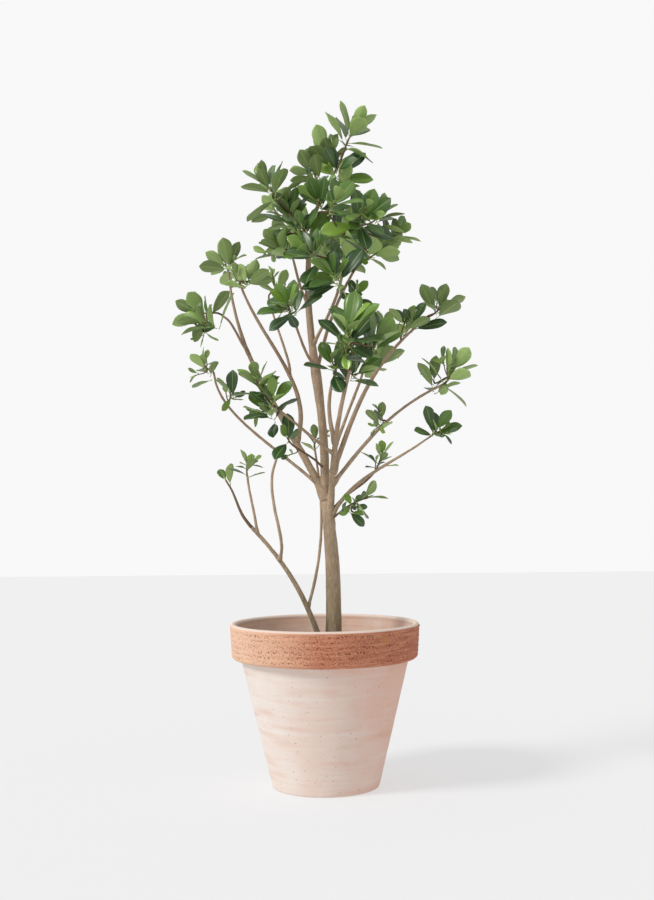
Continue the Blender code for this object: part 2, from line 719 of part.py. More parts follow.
def fuse(name, twigs, leaves, group, solver):
    """One closed solid of a mass's twigs and leaves."""
    stem = tube(name, twigs[0], 0, group)
    pieces = collection(name + " pieces")
    for number, twig in enumerate(twigs[1:]):
        tube(f"{name} twig {number}", twig, 0, pieces)
    for number, leaf in enumerate(leaves):
        mesh_object(f"{name} leaf {number}", leaf_solid(leaf), pieces)
    join = stem.modifiers.new("Join", "BOOLEAN")
    join.operation = "UNION"
    join.operand_type = "COLLECTION"
    join.solver = solver
    join.collection = pieces
    closed = settle(stem)
    for piece in list(pieces.objects):
        mesh = piece.data
        bpy.data.objects.remove(piece, do_unlink=True)
        bpy.data.meshes.remove(mesh)
    bpy.data.collections.remove(pieces)
    return stem, closed


def build_mass(mass, twigs, leaves, guards, group, foliage):
    """A foliage mass, with fewer leaves where the solid of all of them doesn't close."""
    while True:
        for solver in ("EXACT", "MANIFOLD"):
            made, closed = fuse(mass.name, twigs, leaves, group, solver)
            if closed:
                break
            mesh = made.data
            bpy.data.objects.remove(made, do_unlink=True)
            bpy.data.meshes.remove(mesh)
        if closed:
            break
        leaves = leaves[:-1]
    if mass.height is not None:
        mine = tree_of(made)
        for guard in guards.values():
            if mine.overlap(tree_of(guard)):
                subtract(made, guard)
        settle(made)
    dress(made, foliage)
    return made


def main():
    clear_scene()
    group = collection("Potted Chinese banyan")
    cutters = collection("Cutters")
    plant = bpy.data.objects.new("potted_banyan", None)
    group.objects.link(plant)
    clay = material("Clay", (0.85, 0.71, 0.63), 0.85)
    earth = material("Soil", (0.30, 0.22, 0.17), 0.95)
    bark = material("Bark", (0.69, 0.58, 0.48), 0.80)
    foliage = material("Foliage", (0.15, 0.36, 0.16), 0.45)
    made = [build_pot(group, cutters, clay), build_soil(group, earth)]
    paths = all_paths()
    limbs, guards = build_limbs(paths, group, cutters, bark)
    made += limbs.values()
    crowding = Crowding({name: tree_of(limb) for name, limb in limbs.items()})
    for mass in MASSES:
        twigs, leaves = grow(mass, paths, crowding)
        made.append(build_mass(mass, twigs, leaves, guards, group, foliage))
    for obj in made:
        obj.parent = plant


if __name__ == "__main__":
    main()
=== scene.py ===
"""Potted Chinese banyan: the finished look of a young fig tree in a tapered clay pot.

Metres, +Z up. The origin is the middle of the pot's flat underside. The tree is seen from -Y.
Headings are degrees round the vertical, 0 towards +X and 90 away from the viewer, and rises are
degrees above the level.
"""

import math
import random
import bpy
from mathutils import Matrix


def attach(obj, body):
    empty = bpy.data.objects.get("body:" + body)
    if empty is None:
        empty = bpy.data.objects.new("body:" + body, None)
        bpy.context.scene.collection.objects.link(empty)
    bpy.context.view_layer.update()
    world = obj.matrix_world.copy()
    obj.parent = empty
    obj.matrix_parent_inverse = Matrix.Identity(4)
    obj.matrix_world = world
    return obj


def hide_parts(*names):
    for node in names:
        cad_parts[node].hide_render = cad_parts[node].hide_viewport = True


bl_info = {
    "name": "Potted Chinese Banyan",
    "version": (1, 0, 0),
    "blender": (4, 5, 0),
    "location": "3D View > Sidebar > Banyan",
    "description": "Builds a young fig tree with several boughs in a tapered clay pot",
    "category": "Add Mesh",
}

from collections import namedtuple

import bmesh
import bpy
import numpy as np
from bpy.props import FloatProperty, FloatVectorProperty, IntProperty, PointerProperty
from mathutils import Matrix, Vector, noise
from mathutils.bvhtree import BVHTree

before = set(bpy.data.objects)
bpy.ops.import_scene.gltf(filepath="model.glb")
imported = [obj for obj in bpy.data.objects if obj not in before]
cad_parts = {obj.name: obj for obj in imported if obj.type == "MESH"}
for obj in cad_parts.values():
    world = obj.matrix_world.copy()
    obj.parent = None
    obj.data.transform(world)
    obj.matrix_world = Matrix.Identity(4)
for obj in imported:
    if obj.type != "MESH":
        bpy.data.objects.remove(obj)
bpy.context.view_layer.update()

BODY = "root"
GAP = 0.0003  # between pieces that would touch

# Pot
POT_HEIGHT = 0.2723
RIM_RADIUS = 0.160
RIM_FOOT_RADIUS = 0.157
BAND_HEIGHT = 0.059
BAND_EDGE = 0.007
BODY_TOP_RADIUS = 0.140
BODY_TOP = 0.206
COLLAR = (0.142, 0.2121)
FOOT_RADIUS = 0.0901
FOOT_EDGE = 0.0022
FOOT_BULGE = 0.0004
WALL = 0.011
FLOOR = 0.014
DRAIN_RADIUS = 0.006
DRAIN_RING = 0.045
DRAINS = 3
BAND_FOOT = POT_HEIGHT - BAND_HEIGHT
LIP = WALL / 2
LIP_CENTRE = (RIM_RADIUS - LIP, POT_HEIGHT - LIP)
POT_TURNS = 240
BAND_TURNS = 900
BAND_STEP = 0.00115
# Turned ridges of the band: pitch, share and shift of each set
RIDGES = ((0.0083, 0.55, 0.1), (0.0041, 0.30, 0.37), (0.0026, 0.15, 0.7))
PIT_LAYER = "pit"
CRUMB_SIZE = 0.0016
SOIL_TOP = 0.2350
SOIL_DEPTH = 0.02
LUMPS = 900

# Places on the pot: an ochre blotch on the band, a brown stain inside the wall and a crumb at the lip
BLOTCH = (0.096, -0.126, 0.2564)
STAIN = (-0.098, 0.122, 0.2560)
CRUMB = (0.1585, -0.012, 0.2668)

# Lesser tints of the clay, the bark and the leaves' gloss, with the band's painted light and the pits'
# painted shade
STREAK_COLOUR = (0.84, 0.66, 0.58)
SPECK_COLOUR = (0.60, 0.45, 0.38)
# Painted light on the band's left side
BAND_PAINTED_LIGHT_COLOUR = (0.92, 0.78, 0.67)
# Painted shade for the band's pits
PIT_PAINTED_SHADE_COLOUR = (0.42, 0.17, 0.10)
BLOTCH_COLOUR = (0.74, 0.50, 0.30)
RING_COLOUR = (0.76, 0.58, 0.49)
LIP_COLOUR = (0.90, 0.82, 0.77)
STAIN_COLOUR = (0.48, 0.28, 0.20)
PATCH_COLOUR = (0.50, 0.43, 0.33)
BARK_STREAK_COLOUR = (0.82, 0.75, 0.66)
BARK_SPECK_COLOUR = (0.34, 0.27, 0.20)
LEAF_COAT_ROUGHNESS = 0.22

# Bark: how far a bough widens at its foot, and how far along, as shares of its radius
COLLAR_SWELL = 0.55
COLLAR_REACH = 2.2
WOOD_STEP = 0.004
ROOT_DEPTH = 0.012  # how far the stems' feet are sunk in the soil
ROOT_SWELL = 1.15
SMOOTHINGS = 3

# Trunk: height, sideways place and radius at each station, from the flat cut on the soil to the tip
TRUNK = (
    (0.2353, 0.015, 0.0162),
    (0.250, 0.015, 0.0144),
    (0.290, 0.0155, 0.0131),
    (0.360, 0.0145, 0.0124),
    (0.420, 0.0105, 0.0110),
    (0.490, 0.0035, 0.0082),
    (0.560, 0.002, 0.0076),
    (0.630, -0.003, 0.0072),
    (0.695, -0.011, 0.0088),
    (0.745, -0.017, 0.0066),
    (0.820, -0.023, 0.0058),
    (0.900, -0.0215, 0.0045),
    (0.960, -0.012, 0.0036),
    (1.000, 0.000, 0.0031),
    (1.045, 0.025, 0.0026),
)
TRUNK_STEP = 0.035  # between the rings of the trunk's mesh

# Boughs: the limb that carries each, the height at which it leaves that limb's middle, the heading and
# rise there, its tip, the heading and rise at the tip, and its radius at both ends
Limb = namedtuple("Limb", "name carrier height leaves tip arrives radii")
SIDE_STEM_FOOT = (-0.0075, -0.013)  # where the side stem comes out of the soil
BOW = 0.38  # how far each end's direction carries, as a share of the limb's straight length
LIMB_STEP = 0.024
LIMBS = (
    Limb("right_stem", "trunk", 0.425, (-60, 84), (0.045, -0.1, 0.69), (-40, 70), (0.0066, 0.0029)),
    Limb("left_bough", "trunk", 0.48, (180, 65), (-0.165, 0.06, 0.885), (170, 85), (0.0071, 0.0019)),
    Limb("left_inner_bough", "left_bough", 0.577, (40, 65), (-0.14, 0.0, 0.85), (190, 70), (0.0044, 0.002)),
    Limb("far_left_bough", "left_bough", 0.734, (-135, 45), (-0.17, -0.01, 0.795), (-115, 5),
         (0.0026, 0.0018)),
    Limb("left_back_bough", "left_inner_bough", 0.695, (85, 20), (-0.095, 0.09, 0.84), (120, 65),
         (0.0026, 0.0018)),
    Limb("low_left_front_bough", "right_stem", 0.555, (-135, 25), (-0.07, -0.09, 0.625), (-140, 30),
         (0.0027, 0.002)),
    Limb("low_left_bough", "trunk", 0.492, (-170, 45), (-0.18, -0.06, 0.69), (-90, 40), (0.0031, 0.0017)),
    Limb("side_stem", None, 0.2353, (-145, 70), (-0.12, -0.05, 0.435), (-155, 45), (0.005, 0.0032)),
    Limb("side_stem_rear_shoot", "side_stem", 0.297, (35, 70), (-0.015, 0.045, 0.57), (125, 75),
         (0.0027, 0.002)),
    Limb("side_stem_middle_shoot", "side_stem", 0.379, (-70, 35), (-0.075, -0.08, 0.55), (-5, 65),
         (0.0029, 0.0019)),
    Limb("side_stem_outer_shoot", "side_stem", 0.424, (-110, 75), (-0.125, -0.07, 0.52), (-110, 75),
         (0.0025, 0.0017)),
    Limb("centre_bough", "right_stem", 0.572, (-140, 70), (0.02, -0.05, 0.685), (-40, 65),
         (0.0039, 0.0025)),
    Limb("centre_back_bough", "right_stem", 0.556, (75, 45), (0.07, 0.06, 0.7), (85, 20), (0.0029, 0.0022)),
    Limb("high_right_bough", "right_stem", 0.523, (25, 68), (0.17, 0.04, 0.785), (0, 40), (0.0048, 0.0022)),
    Limb("middle_right_bough", "right_stem", 0.503, (-5, 52), (0.2, -0.03, 0.67), (-5, 25),
         (0.0037, 0.0019)),
    Limb("low_right_bough", "right_stem", 0.448, (-20, 60), (0.175, -0.06, 0.58), (-10, 35),
         (0.0039, 0.0016)),
    Limb("left_front_bough", "trunk", 0.705, (-130, 40), (-0.05, -0.09, 0.78), (-110, 30),
         (0.0026, 0.0019)),
    Limb("crown_front_bough", "trunk", 0.742, (-40, 55), (0.035, -0.05, 0.855), (-60, 65),
         (0.0031, 0.0024)),
    Limb("crown_right_bough", "trunk", 0.693, (45, 72), (0.055, 0.06, 0.88), (15, 60), (0.0034, 0.0025)),
    Limb("crown_left_bough", "trunk", 0.811, (-145, 55), (-0.05, -0.03, 0.895), (-120, 60),
         (0.0027, 0.002)),
    Limb("crown_back_bough", "trunk", 0.85, (75, 40), (0.015, 0.09, 0.92), (60, 45), (0.003, 0.0022)),
)

# Foliage masses: the limb that carries each, the height at which the stem leaves that limb or None where
# it goes on from the tip, the middle and half sizes of the mass's own space, its leafy shoots, the leaves
# on each, the length of a full leaf, the seed of its growth, and how far its shoots lean upwards
Mass = namedtuple("Mass", "name carrier height centre reach shoots leaves leaf seed lift", defaults=(0.5,))
MASSES = (
    Mass("top", "trunk", None, (0.05, 0.005, 1.105), (0.085, 0.065, 0.095), 3, 11, 0.07, 52),
    Mass("crown_left_upper", "trunk", 1.0, (-0.025, 0.02, 1.065), (0.052, 0.055, 0.055), 1, 10, 0.06, 363),
    Mass("crown_middle", "trunk", 0.985, (0.015, -0.03, 1.02), (0.065, 0.065, 0.06), 2, 10, 0.064, 67),
    Mass("crown_left", "trunk", 0.925, (-0.09, -0.05, 0.99), (0.072, 0.07, 0.075), 2, 12, 0.064, 5),
    Mass("crown_inner", "trunk", 0.905, (-0.04, -0.025, 0.97), (0.06, 0.065, 0.06), 2, 9, 0.062, 349),
    Mass("crown_right_front", "trunk", 0.965, (0.06, -0.095, 0.94), (0.075, 0.075, 0.08), 3, 10, 0.066,
         300),
    Mass("crown_right", "trunk", 0.94, (0.128, 0.03, 0.95), (0.065, 0.075, 0.088), 3, 10, 0.06, 389),
    Mass("crown_front", "crown_front_bough", None, (-0.003, -0.11, 0.872), (0.078, 0.07, 0.07), 2, 12,
         0.07, 315),
    Mass("crown_left_low", "crown_left_bough", None, (-0.07, -0.04, 0.92), (0.058, 0.06, 0.048), 1, 12,
         0.062, 4),
    Mass("crown_right_low", "crown_right_bough", None, (0.085, 0.06, 0.925), (0.07, 0.065, 0.05), 2, 9,
         0.058, 370),
    Mass("crown_right_small", "crown_right_bough", 0.84, (0.068, 0.03, 0.84), (0.042, 0.04, 0.035), 1, 5,
         0.044, 45),
    Mass("crown_back_left", "trunk", 0.885, (-0.055, 0.11, 0.985), (0.075, 0.07, 0.075), 3, 9, 0.062, 134),
    Mass("crown_back_right", "crown_back_bough", None, (0.04, 0.14, 0.955), (0.085, 0.07, 0.08), 3, 10,
         0.062, 308),
    Mass("left_high", "left_bough", None, (-0.183, 0.07, 0.908), (0.062, 0.06, 0.062), 1, 14, 0.056, 242),
    Mass("left_middle", "left_inner_bough", None, (-0.122, 0.0, 0.872), (0.048, 0.05, 0.048), 1, 10, 0.054,
         190),
    Mass("left_far", "far_left_bough", None, (-0.207, -0.03, 0.802), (0.075, 0.065, 0.06), 2, 9, 0.066,
         148, 0.35),
    Mass("left_front", "left_front_bough", None, (-0.055, -0.12, 0.798), (0.058, 0.06, 0.052), 1, 12,
         0.062, 315),
    Mass("left_back", "left_back_bough", None, (-0.085, 0.1, 0.875), (0.04, 0.035, 0.042), 1, 6, 0.046,
         301),
    Mass("low_left_tip", "low_left_bough", None, (-0.195, -0.06, 0.7), (0.058, 0.042, 0.044), 1, 5, 0.052,
         167, 0.3),
    Mass("low_left_side", "low_left_bough", 0.64, (-0.158, -0.05, 0.672), (0.036, 0.036, 0.046), 1, 3,
         0.058, 279),
    Mass("low_left_front", "low_left_front_bough", None, (-0.1, -0.11, 0.655), (0.065, 0.055, 0.08), 3, 8,
         0.058, 112),
    Mass("low_left_pair", "trunk", 0.53, (-0.065, -0.09, 0.59), (0.045, 0.042, 0.05), 1, 5, 0.052, 351,
         0.1),
    Mass("low_centre", "side_stem_rear_shoot", None, (-0.022, 0.045, 0.6), (0.036, 0.04, 0.05), 1, 5,
         0.048, 277),
    Mass("side_outer", "side_stem_outer_shoot", None, (-0.127, -0.07, 0.54), (0.042, 0.038, 0.036), 1, 5,
         0.042, 71),
    Mass("side_end", "side_stem", None, (-0.17, -0.03, 0.52), (0.042, 0.032, 0.03), 1, 3, 0.044, 216),
    Mass("centre_front", "right_stem", None, (0.065, -0.15, 0.748), (0.08, 0.065, 0.068), 2, 12, 0.078,
         356),
    Mass("centre", "centre_bough", None, (0.04, -0.09, 0.698), (0.075, 0.055, 0.055), 2, 9, 0.064, 356),
    Mass("centre_back", "centre_back_bough", None, (0.09, 0.11, 0.77), (0.07, 0.07, 0.07), 3, 8, 0.06, 335),
    Mass("right_high", "high_right_bough", None, (0.2, 0.05, 0.822), (0.078, 0.06, 0.064), 2, 8, 0.062,
         343),
    Mass("right_high_small", "high_right_bough", 0.755, (0.155, 0.035, 0.8), (0.05, 0.045, 0.05), 1, 6,
         0.054, 54),
    Mass("right_middle", "middle_right_bough", None, (0.215, -0.03, 0.695), (0.072, 0.06, 0.066), 2, 8,
         0.064, 361),
    Mass("right_low", "low_right_bough", None, (0.185, -0.08, 0.605), (0.048, 0.04, 0.048), 1, 8, 0.052,
         399),
    Mass("right_inner", "middle_right_bough", 0.61, (0.105, -0.03, 0.625), (0.058, 0.045, 0.045), 1, 7,
         0.044, 321),
    Mass("right_back", "trunk", 0.453, (0.1, 0.06, 0.56), (0.055, 0.04, 0.036), 1, 7, 0.042, 237),
    Mass("right_hanging", "right_stem", 0.443, (0.067, -0.05, 0.475), (0.052, 0.045, 0.058), 2, 4, 0.05,
         342, 0.0),
)

# Growth rule
GOLDEN_TURN = 137.5  # degrees from each leaf, and each shoot, to the next
SHOOT_SPREAD = 0.45  # of the shoots' tips, as a share of the mass's half sizes
LEAFY_LENGTH = 0.45  # of a shoot's leafy end, as a share of a full leaf
OPEN_OLD = 84  # degrees between the shoot and its oldest leaf
OPEN_YOUNG = 20
OPEN_SWAY = 12  # degrees that a leaf may open more or less than its age asks
YOUNG_SHARE = 0.72  # length of the youngest leaf against a full one
LENGTH_RANGE = (0.84, 1.12)  # of a leaf against its age's length
BUD_LENGTH = 0.003  # from the youngest leaf to the shoot's tip
FACE_UP = 0.35  # how far a leaf's face turns up to the light
FACE_SWAY = 0.25
LEAF_LIFT = 0.25  # share of a mass's lift that its leaves follow
TIP_SWAY = 0.2  # of a shoot's tip, as a share of the mass's half sizes
TIP_INWARD = 0.25  # how far the tips draw back towards the stem's start
AXIS_ONWARD = 0.55  # a shoot's way at its tip: on from the stem's start
AXIS_OUTWARD = 0.25  # and away from the trunk
AXIS_SWAY = 0.35
STEM_LIFT = 0.25
LEAF_TRIES = 7
TRY_SPIN = (12, 9)  # degrees that a leaf may turn about its place, and the degrees each try adds
TRY_SHRINK = 0.95  # a leaf's length at each try against the try before
TWIG_TRIES = 10
TWIG_SWAY = 0.12  # how far each try bends a twig further
TWIG_ONWARD = 0.2  # share of its tip's way in a side twig's way out
TWIG_KNOTS = (3, 4)  # points of the stem that side twigs come from
TWIG_RADIUS = 0.0015
STEM_RADIUS = 0.0020
TWIG_POINTS = 6
BLADE_FROM = 0.22  # where the blade begins along the leaf, past the leaf's stalk

# Leaf: half width as a share of the length at two sections along it, between the root and the tip
LEAF_SECTIONS = ((0.40, 0.185), (0.74, 0.215))
LEAF_THICKNESS = 0.014
LEAF_DROOP = 0.10  # how far the tip bends down, as a share of the length
LEAF_FOLD = 0.22  # rise of the edges over the midrib, as a share of the half width
ROOT_HALF = 0.0009
CLEARANCE = 0.0006
ASKEW = Vector((0.2, -0.9, 0.1))  # directions that no shoot and no twig takes, to turn others from
ASLANT = Vector((0.31, 0.17, 0.05))

Leaf = namedtuple("Leaf", "base direction face length")
Twig = namedtuple("Twig", "points radii")


def heading(turn, rise):
    """Unit vector of a heading and a rise in degrees."""
    turn, rise = math.radians(turn), math.radians(rise)
    return Vector((math.cos(turn) * math.cos(rise), math.sin(turn) * math.cos(rise), math.sin(rise)))


def bezier(start, leaving, end, arriving, count):
    """Points along a cubic curve between two places with a direction at each."""
    reach = BOW * (end - start).length
    first, second = start + leaving * reach, end - arriving * reach
    points = []
    for step in range(count):
        t = step / (count - 1)
        s = 1 - t
        points.append(start * s**3 + first * (3 * s * s * t) + second * (3 * s * t * t) + end * t**3)
    return points


def smoothed(stations, pieces_between):
    """Points and radii along a smooth curve through stations of (x, y, z, radius)."""
    ends = [stations[0] * 2 - stations[1]] + stations + [stations[-1] * 2 - stations[-2]]
    points, radii = [], []
    for i in range(len(stations) - 1):
        before, here, there, after = ends[i : i + 4]
        pieces = max(1, round(pieces_between(here, there)))
        for piece in range(pieces):
            t = piece / pieces
            spot = 0.5 * (
                2 * here
                + (there - before) * t
                + (2 * before - 5 * here + 4 * there - after) * t * t
                + (3 * here - before - 3 * there + after) * t**3
            )
            points.append(Vector(spot[:3]))
            radii.append(spot[3])
    points.append(Vector(stations[-1][:3]))
    radii.append(stations[-1][3])
    return points, radii


def trunk_path():
    """Centre line and radii of the trunk, smoothed between its stations."""
    stations = [Vector((x, 0.0, z, radius)) for z, x, radius in TRUNK]
    return Twig(*smoothed(stations, lambda here, there: (there.z - here.z) / TRUNK_STEP))


def resampled(path, step):
    """Points about a step apart, and their radii, on a smooth curve through a path's own."""
    stations = [Vector((*p, r)) for p, r in zip(path.points, path.radii)]
    return smoothed(stations, lambda here, there: (there - here).length / step)


def lengths_along(points):
    """How far each point of a line lies along it."""
    lengths = [0.0]
    for a, b in zip(points, points[1:]):
        lengths.append(lengths[-1] + (b - a).length)
    return lengths


def place_at(path, height):
    """Middle of a limb at a height."""
    for lower, upper in zip(path.points, path.points[1:]):
        if lower.z <= height <= upper.z:
            return lower.lerp(upper, (height - lower.z) / (upper.z - lower.z))
    raise ValueError(f"no part of the limb is {height} m high")


def rooted_in(spot, paths):
    """Names of the limbs that a place lies in or next to."""
    names = []
    for name, path in paths.items():
        for point, radius in zip(path.points, path.radii):
            if (point - spot).length < radius + LIMB_STEP / 2:
                names.append(name)
                break
    return names


def limb_path(limb, paths):
    """Centre line and radii of a bough. A stem that starts on the soil begins upright."""
    if limb.carrier:
        start = place_at(paths[limb.carrier], limb.height)
        points = []
    else:
        points = [Vector((*SIDE_STEM_FOOT, limb.height))]
        start = points[0] + Vector((0, 0, limb.radii[0]))
    end = Vector(limb.tip)
    count = max(5, round((end - start).length / LIMB_STEP) + 1)
    points += bezier(start, heading(*limb.leaves), end, heading(*limb.arrives), count)
    lengths = lengths_along(points)
    base, tip = limb.radii
    radii = [base + (tip - base) * length / lengths[-1] for length in lengths]
    return Twig(points, radii)


def all_paths():
    """Centre lines of the trunk and of every bough, by name."""
    paths = {"trunk": trunk_path()}
    for limb in LIMBS:
        paths[limb.name] = limb_path(limb, paths)
    return paths


def ring_solid(rings):
    """Points and faces of a closed loft through rings of the same size. A ring of one point is a tip."""
    points, faces, starts = [], [], []
    for ring in rings:
        starts.append(len(points))
        points.extend(ring)
    size = len(rings[0])
    for (a, low), (b, high) in zip(zip(starts, rings), list(zip(starts, rings))[1:]):
        for i in range(size):
            j = (i + 1) % size
            if len(high) == 1:
                faces.append((a + i, a + j, b))
            else:
                faces.append((a + i, a + j, b + j, b + i))
    faces.append(tuple(reversed(range(size))))
    if len(rings[-1]) > 1:
        faces.append(tuple(range(starts[-1], starts[-1] + size)))
    return points, faces


def leaf_side(leaf):
    return leaf.face.cross(leaf.direction)


def leaf_spot(leaf, along, across, under=0.0):
    """A place on a leaf: along it from 0 to 1, then metres across and under the blade."""
    length = leaf.length
    rise = LEAF_FOLD * abs(across) - LEAF_DROOP * length * along * along - under
    return leaf.base + leaf.direction * (length * along) + leaf_side(leaf) * across + leaf.face * rise


def leaf_solid(leaf, swell=0.0, start=0.0):
    """A leaf as a thin loft with a keel. It can be swollen, to test what lies near it."""
    half = ROOT_HALF + swell
    foot = [leaf_spot(leaf, start, across) for across in (half, -half)]
    rings = [foot + [leaf_spot(leaf, start, 0, half * 2)]]
    for along, share in LEAF_SECTIONS:
        half = share * leaf.length + swell
        under = max(LEAF_THICKNESS * leaf.length, ROOT_HALF) + swell
        rings.append([
            leaf_spot(leaf, along, half, -swell),
            leaf_spot(leaf, along, -half, -swell),
            leaf_spot(leaf, along, 0, under),
        ])
    rings.append([leaf_spot(leaf, 1.0, 0)])
    return ring_solid(rings)


def twig_solid(twig, swell=0.0):
    """A square tube round a twig, to test what lies near it."""
    rings = []
    for i, (spot, radius) in enumerate(zip(twig.points, twig.radii)):
        run = twig.points[min(i + 1, len(twig.points) - 1)] - twig.points[max(i - 1, 0)]
        across = run.cross(ASLANT).normalized()
        other = run.cross(across).normalized()
        rings.append([
            spot + (across * a + other * b) * (radius + swell)
            for a, b in ((1, 1), (-1, 1), (-1, -1), (1, -1))
        ])
    return ring_solid(rings)


class Crowding:
    """What already stands near a new twig or leaf: the limbs, and the leaves and twigs placed so far."""

    def __init__(self, limb_trees):
        self.limbs = limb_trees
        self.placed = []

    def add(self, owner, solid, blade=None):
        """Notes a placed piece. Pieces of its own mass need only keep clear of its blade."""
        points, faces = solid
        centre = sum(points, Vector()) / len(points)
        radius = max((p - centre).length for p in points)
        whole = BVHTree.FromPolygons(points, faces)
        self.placed.append((owner, whole, BVHTree.FromPolygons(*blade) if blade else whole, centre, radius))

    def meets(self, owner, solid, spared=(), own=False):
        """Whether a solid touches a limb, another owner's piece or, with own, a piece of its owner."""
        points, faces = solid
        tree = BVHTree.FromPolygons(points, faces)
        for name, limb in self.limbs.items():
            if name not in spared and tree.overlap(limb):
                return True
        centre = sum(points, Vector()) / len(points)
        radius = max((p - centre).length for p in points)
        for other, whole, blade, middle, size in self.placed:
            if (other == owner) != own or (middle - centre).length > radius + size:
                continue
            if tree.overlap(blade if own else whole):
                return True
        return False


def within(mass, points):
    """Whether all the points lie in the mass's own space."""
    centre, reach = Vector(mass.centre), Vector(mass.reach)
    for point in points:
        offset = point - centre
        if (offset.x / reach.x) ** 2 + (offset.y / reach.y) ** 2 + (offset.z / reach.z) ** 2 > 1:
            return False
    return True


def sway(rng, most):
    """A small random move."""
    return Vector([rng.uniform(-most, most) for _ in range(3)])


def shoot_tips(mass, start, rng):
    """Where the shoots of a mass end, and the way each faces there."""
    centre, reach = Vector(mass.centre), Vector(mass.reach)
    inward = (start - centre).normalized() * min(reach)
    turn = rng.uniform(0, 360)
    tips = []
    for number in range(mass.shoots):
        level = 1 - 2 * (number + 0.5) / mass.shoots
        wide = math.sqrt(1 - level * level) if mass.shoots > 1 else 0.0
        angle = math.radians(turn + number * GOLDEN_TURN)
        jitter = sway(rng, TIP_SWAY)
        offset = Vector((wide * math.cos(angle), wide * math.sin(angle), level)) * SHOOT_SPREAD + jitter
        tip = centre + Vector(a * b for a, b in zip(offset, reach)) + inward * TIP_INWARD
        axis = (tip - start).normalized() * AXIS_ONWARD
        axis = axis + Vector((tip.x, tip.y, 0)).normalized() * AXIS_OUTWARD
        tips.append((tip, (axis + Vector((0, 0, mass.lift)) + sway(rng, AXIS_SWAY)).normalized()))
    return tips


def shoot_leaves(mass, tip, axis, rng, crowding, placed):
    """Leaves in a spiral round the end of a shoot, the oldest widest open. One with no room is left out."""
    side = axis.cross(ASKEW).normalized()
    other = axis.cross(side)
    turn = rng.uniform(0, 360)
    for number in range(mass.leaves):
        youth = number / max(1, mass.leaves - 1)
        base = tip - axis * (mass.leaf * LEAFY_LENGTH * (1 - youth) + BUD_LENGTH)
        for attempt in range(LEAF_TRIES):
            loose = TRY_SPIN[0] + TRY_SPIN[1] * attempt
            spin = math.radians(turn + number * GOLDEN_TURN + rng.uniform(-1, 1) * loose)
            opened = OPEN_OLD + (OPEN_YOUNG - OPEN_OLD) * youth + rng.uniform(-OPEN_SWAY, OPEN_SWAY)
            opened = math.radians(opened)
            full = mass.leaf * (1 + (YOUNG_SHARE - 1) * youth)
            length = full * rng.uniform(*LENGTH_RANGE) * TRY_SHRINK**attempt
            out = side * math.cos(spin) + other * math.sin(spin)
            direction = axis * math.cos(opened) + out * math.sin(opened)
            direction = (direction + Vector((0, 0, mass.lift * LEAF_LIFT))).normalized()
            up = axis * math.sin(opened) - out * math.cos(opened)
            up += Vector((0, 0, FACE_UP)) + sway(rng, FACE_SWAY)
            face = (up - direction * up.dot(direction)).normalized()
            leaf = Leaf(base, direction, face, length)
            swollen = leaf_solid(leaf, CLEARANCE, BLADE_FROM)
            if not within(mass, swollen[0]):
                continue
            if crowding.meets(mass.name, leaf_solid(leaf, CLEARANCE)):
                continue
            if crowding.meets(mass.name, swollen, own=True):
                continue
            crowding.add(mass.name, leaf_solid(leaf), leaf_solid(leaf, 0.0, BLADE_FROM))
            placed.append(leaf)
            break


def grow(mass, paths, crowding):
    """Twigs and leaves of one mass: a stem to the first shoot's tip, side twigs to the others."""
    rng = random.Random(mass.seed)
    carrier = paths[mass.carrier]
    if mass.height is None:
        leaving = (carrier.points[-1] - carrier.points[-2]).normalized()
        start = carrier.points[-1] + leaving * GAP
        stem_radius = carrier.radii[-1]
    else:
        start = place_at(carrier, mass.height)
        leaving = None
        stem_radius = STEM_RADIUS
    twigs, leaves = [], []
    for tip, axis in shoot_tips(mass, start, rng):
        for attempt in range(TWIG_TRIES):
            if twigs:
                root = twigs[0].points[rng.choice(TWIG_KNOTS)]
                way = (tip - root).normalized() + axis * TWIG_ONWARD
            else:
                root = start
                way = leaving or (tip - start).normalized() + Vector((0, 0, STEM_LIFT))
            shaken = sway(rng, TWIG_SWAY) * attempt
            if not leaving or twigs:
                way = way + shaken
            tried = (axis + shaken).normalized()
            thick = TWIG_RADIUS if twigs else stem_radius
            lead = root + way.normalized() * thick
            points = [root] + bezier(lead, way.normalized(), tip, tried, TWIG_POINTS)
            radii = [thick + (TWIG_RADIUS - thick) * i / TWIG_POINTS for i in range(TWIG_POINTS + 1)]
            twig = Twig(points, radii)
            free = Twig(points[2:], radii[2:])
            spared = () if twigs or mass.height is None else rooted_in(start, paths)
            if not crowding.meets(mass.name, twig_solid(free, CLEARANCE), spared):
                break
        else:
            if twigs:
                continue
        crowding.add(mass.name, twig_solid(twig))
        twigs.append(twig)
        shoot_leaves(mass, tip, tried, rng, crowding, leaves)
    return twigs, leaves


def linear(colour):
    """Scene-linear value of a colour given as sRGB 0 to 1."""
    return [c / 12.92 if c <= 0.04045 else ((c + 0.055) / 1.055) ** 2.4 for c in colour[:3]] + [1.0]


def colour_property(name, description, value):
    return FloatVectorProperty(name=name, description=description, default=value, subtype="COLOR_GAMMA",
                               size=3, min=0.0, max=1.0)


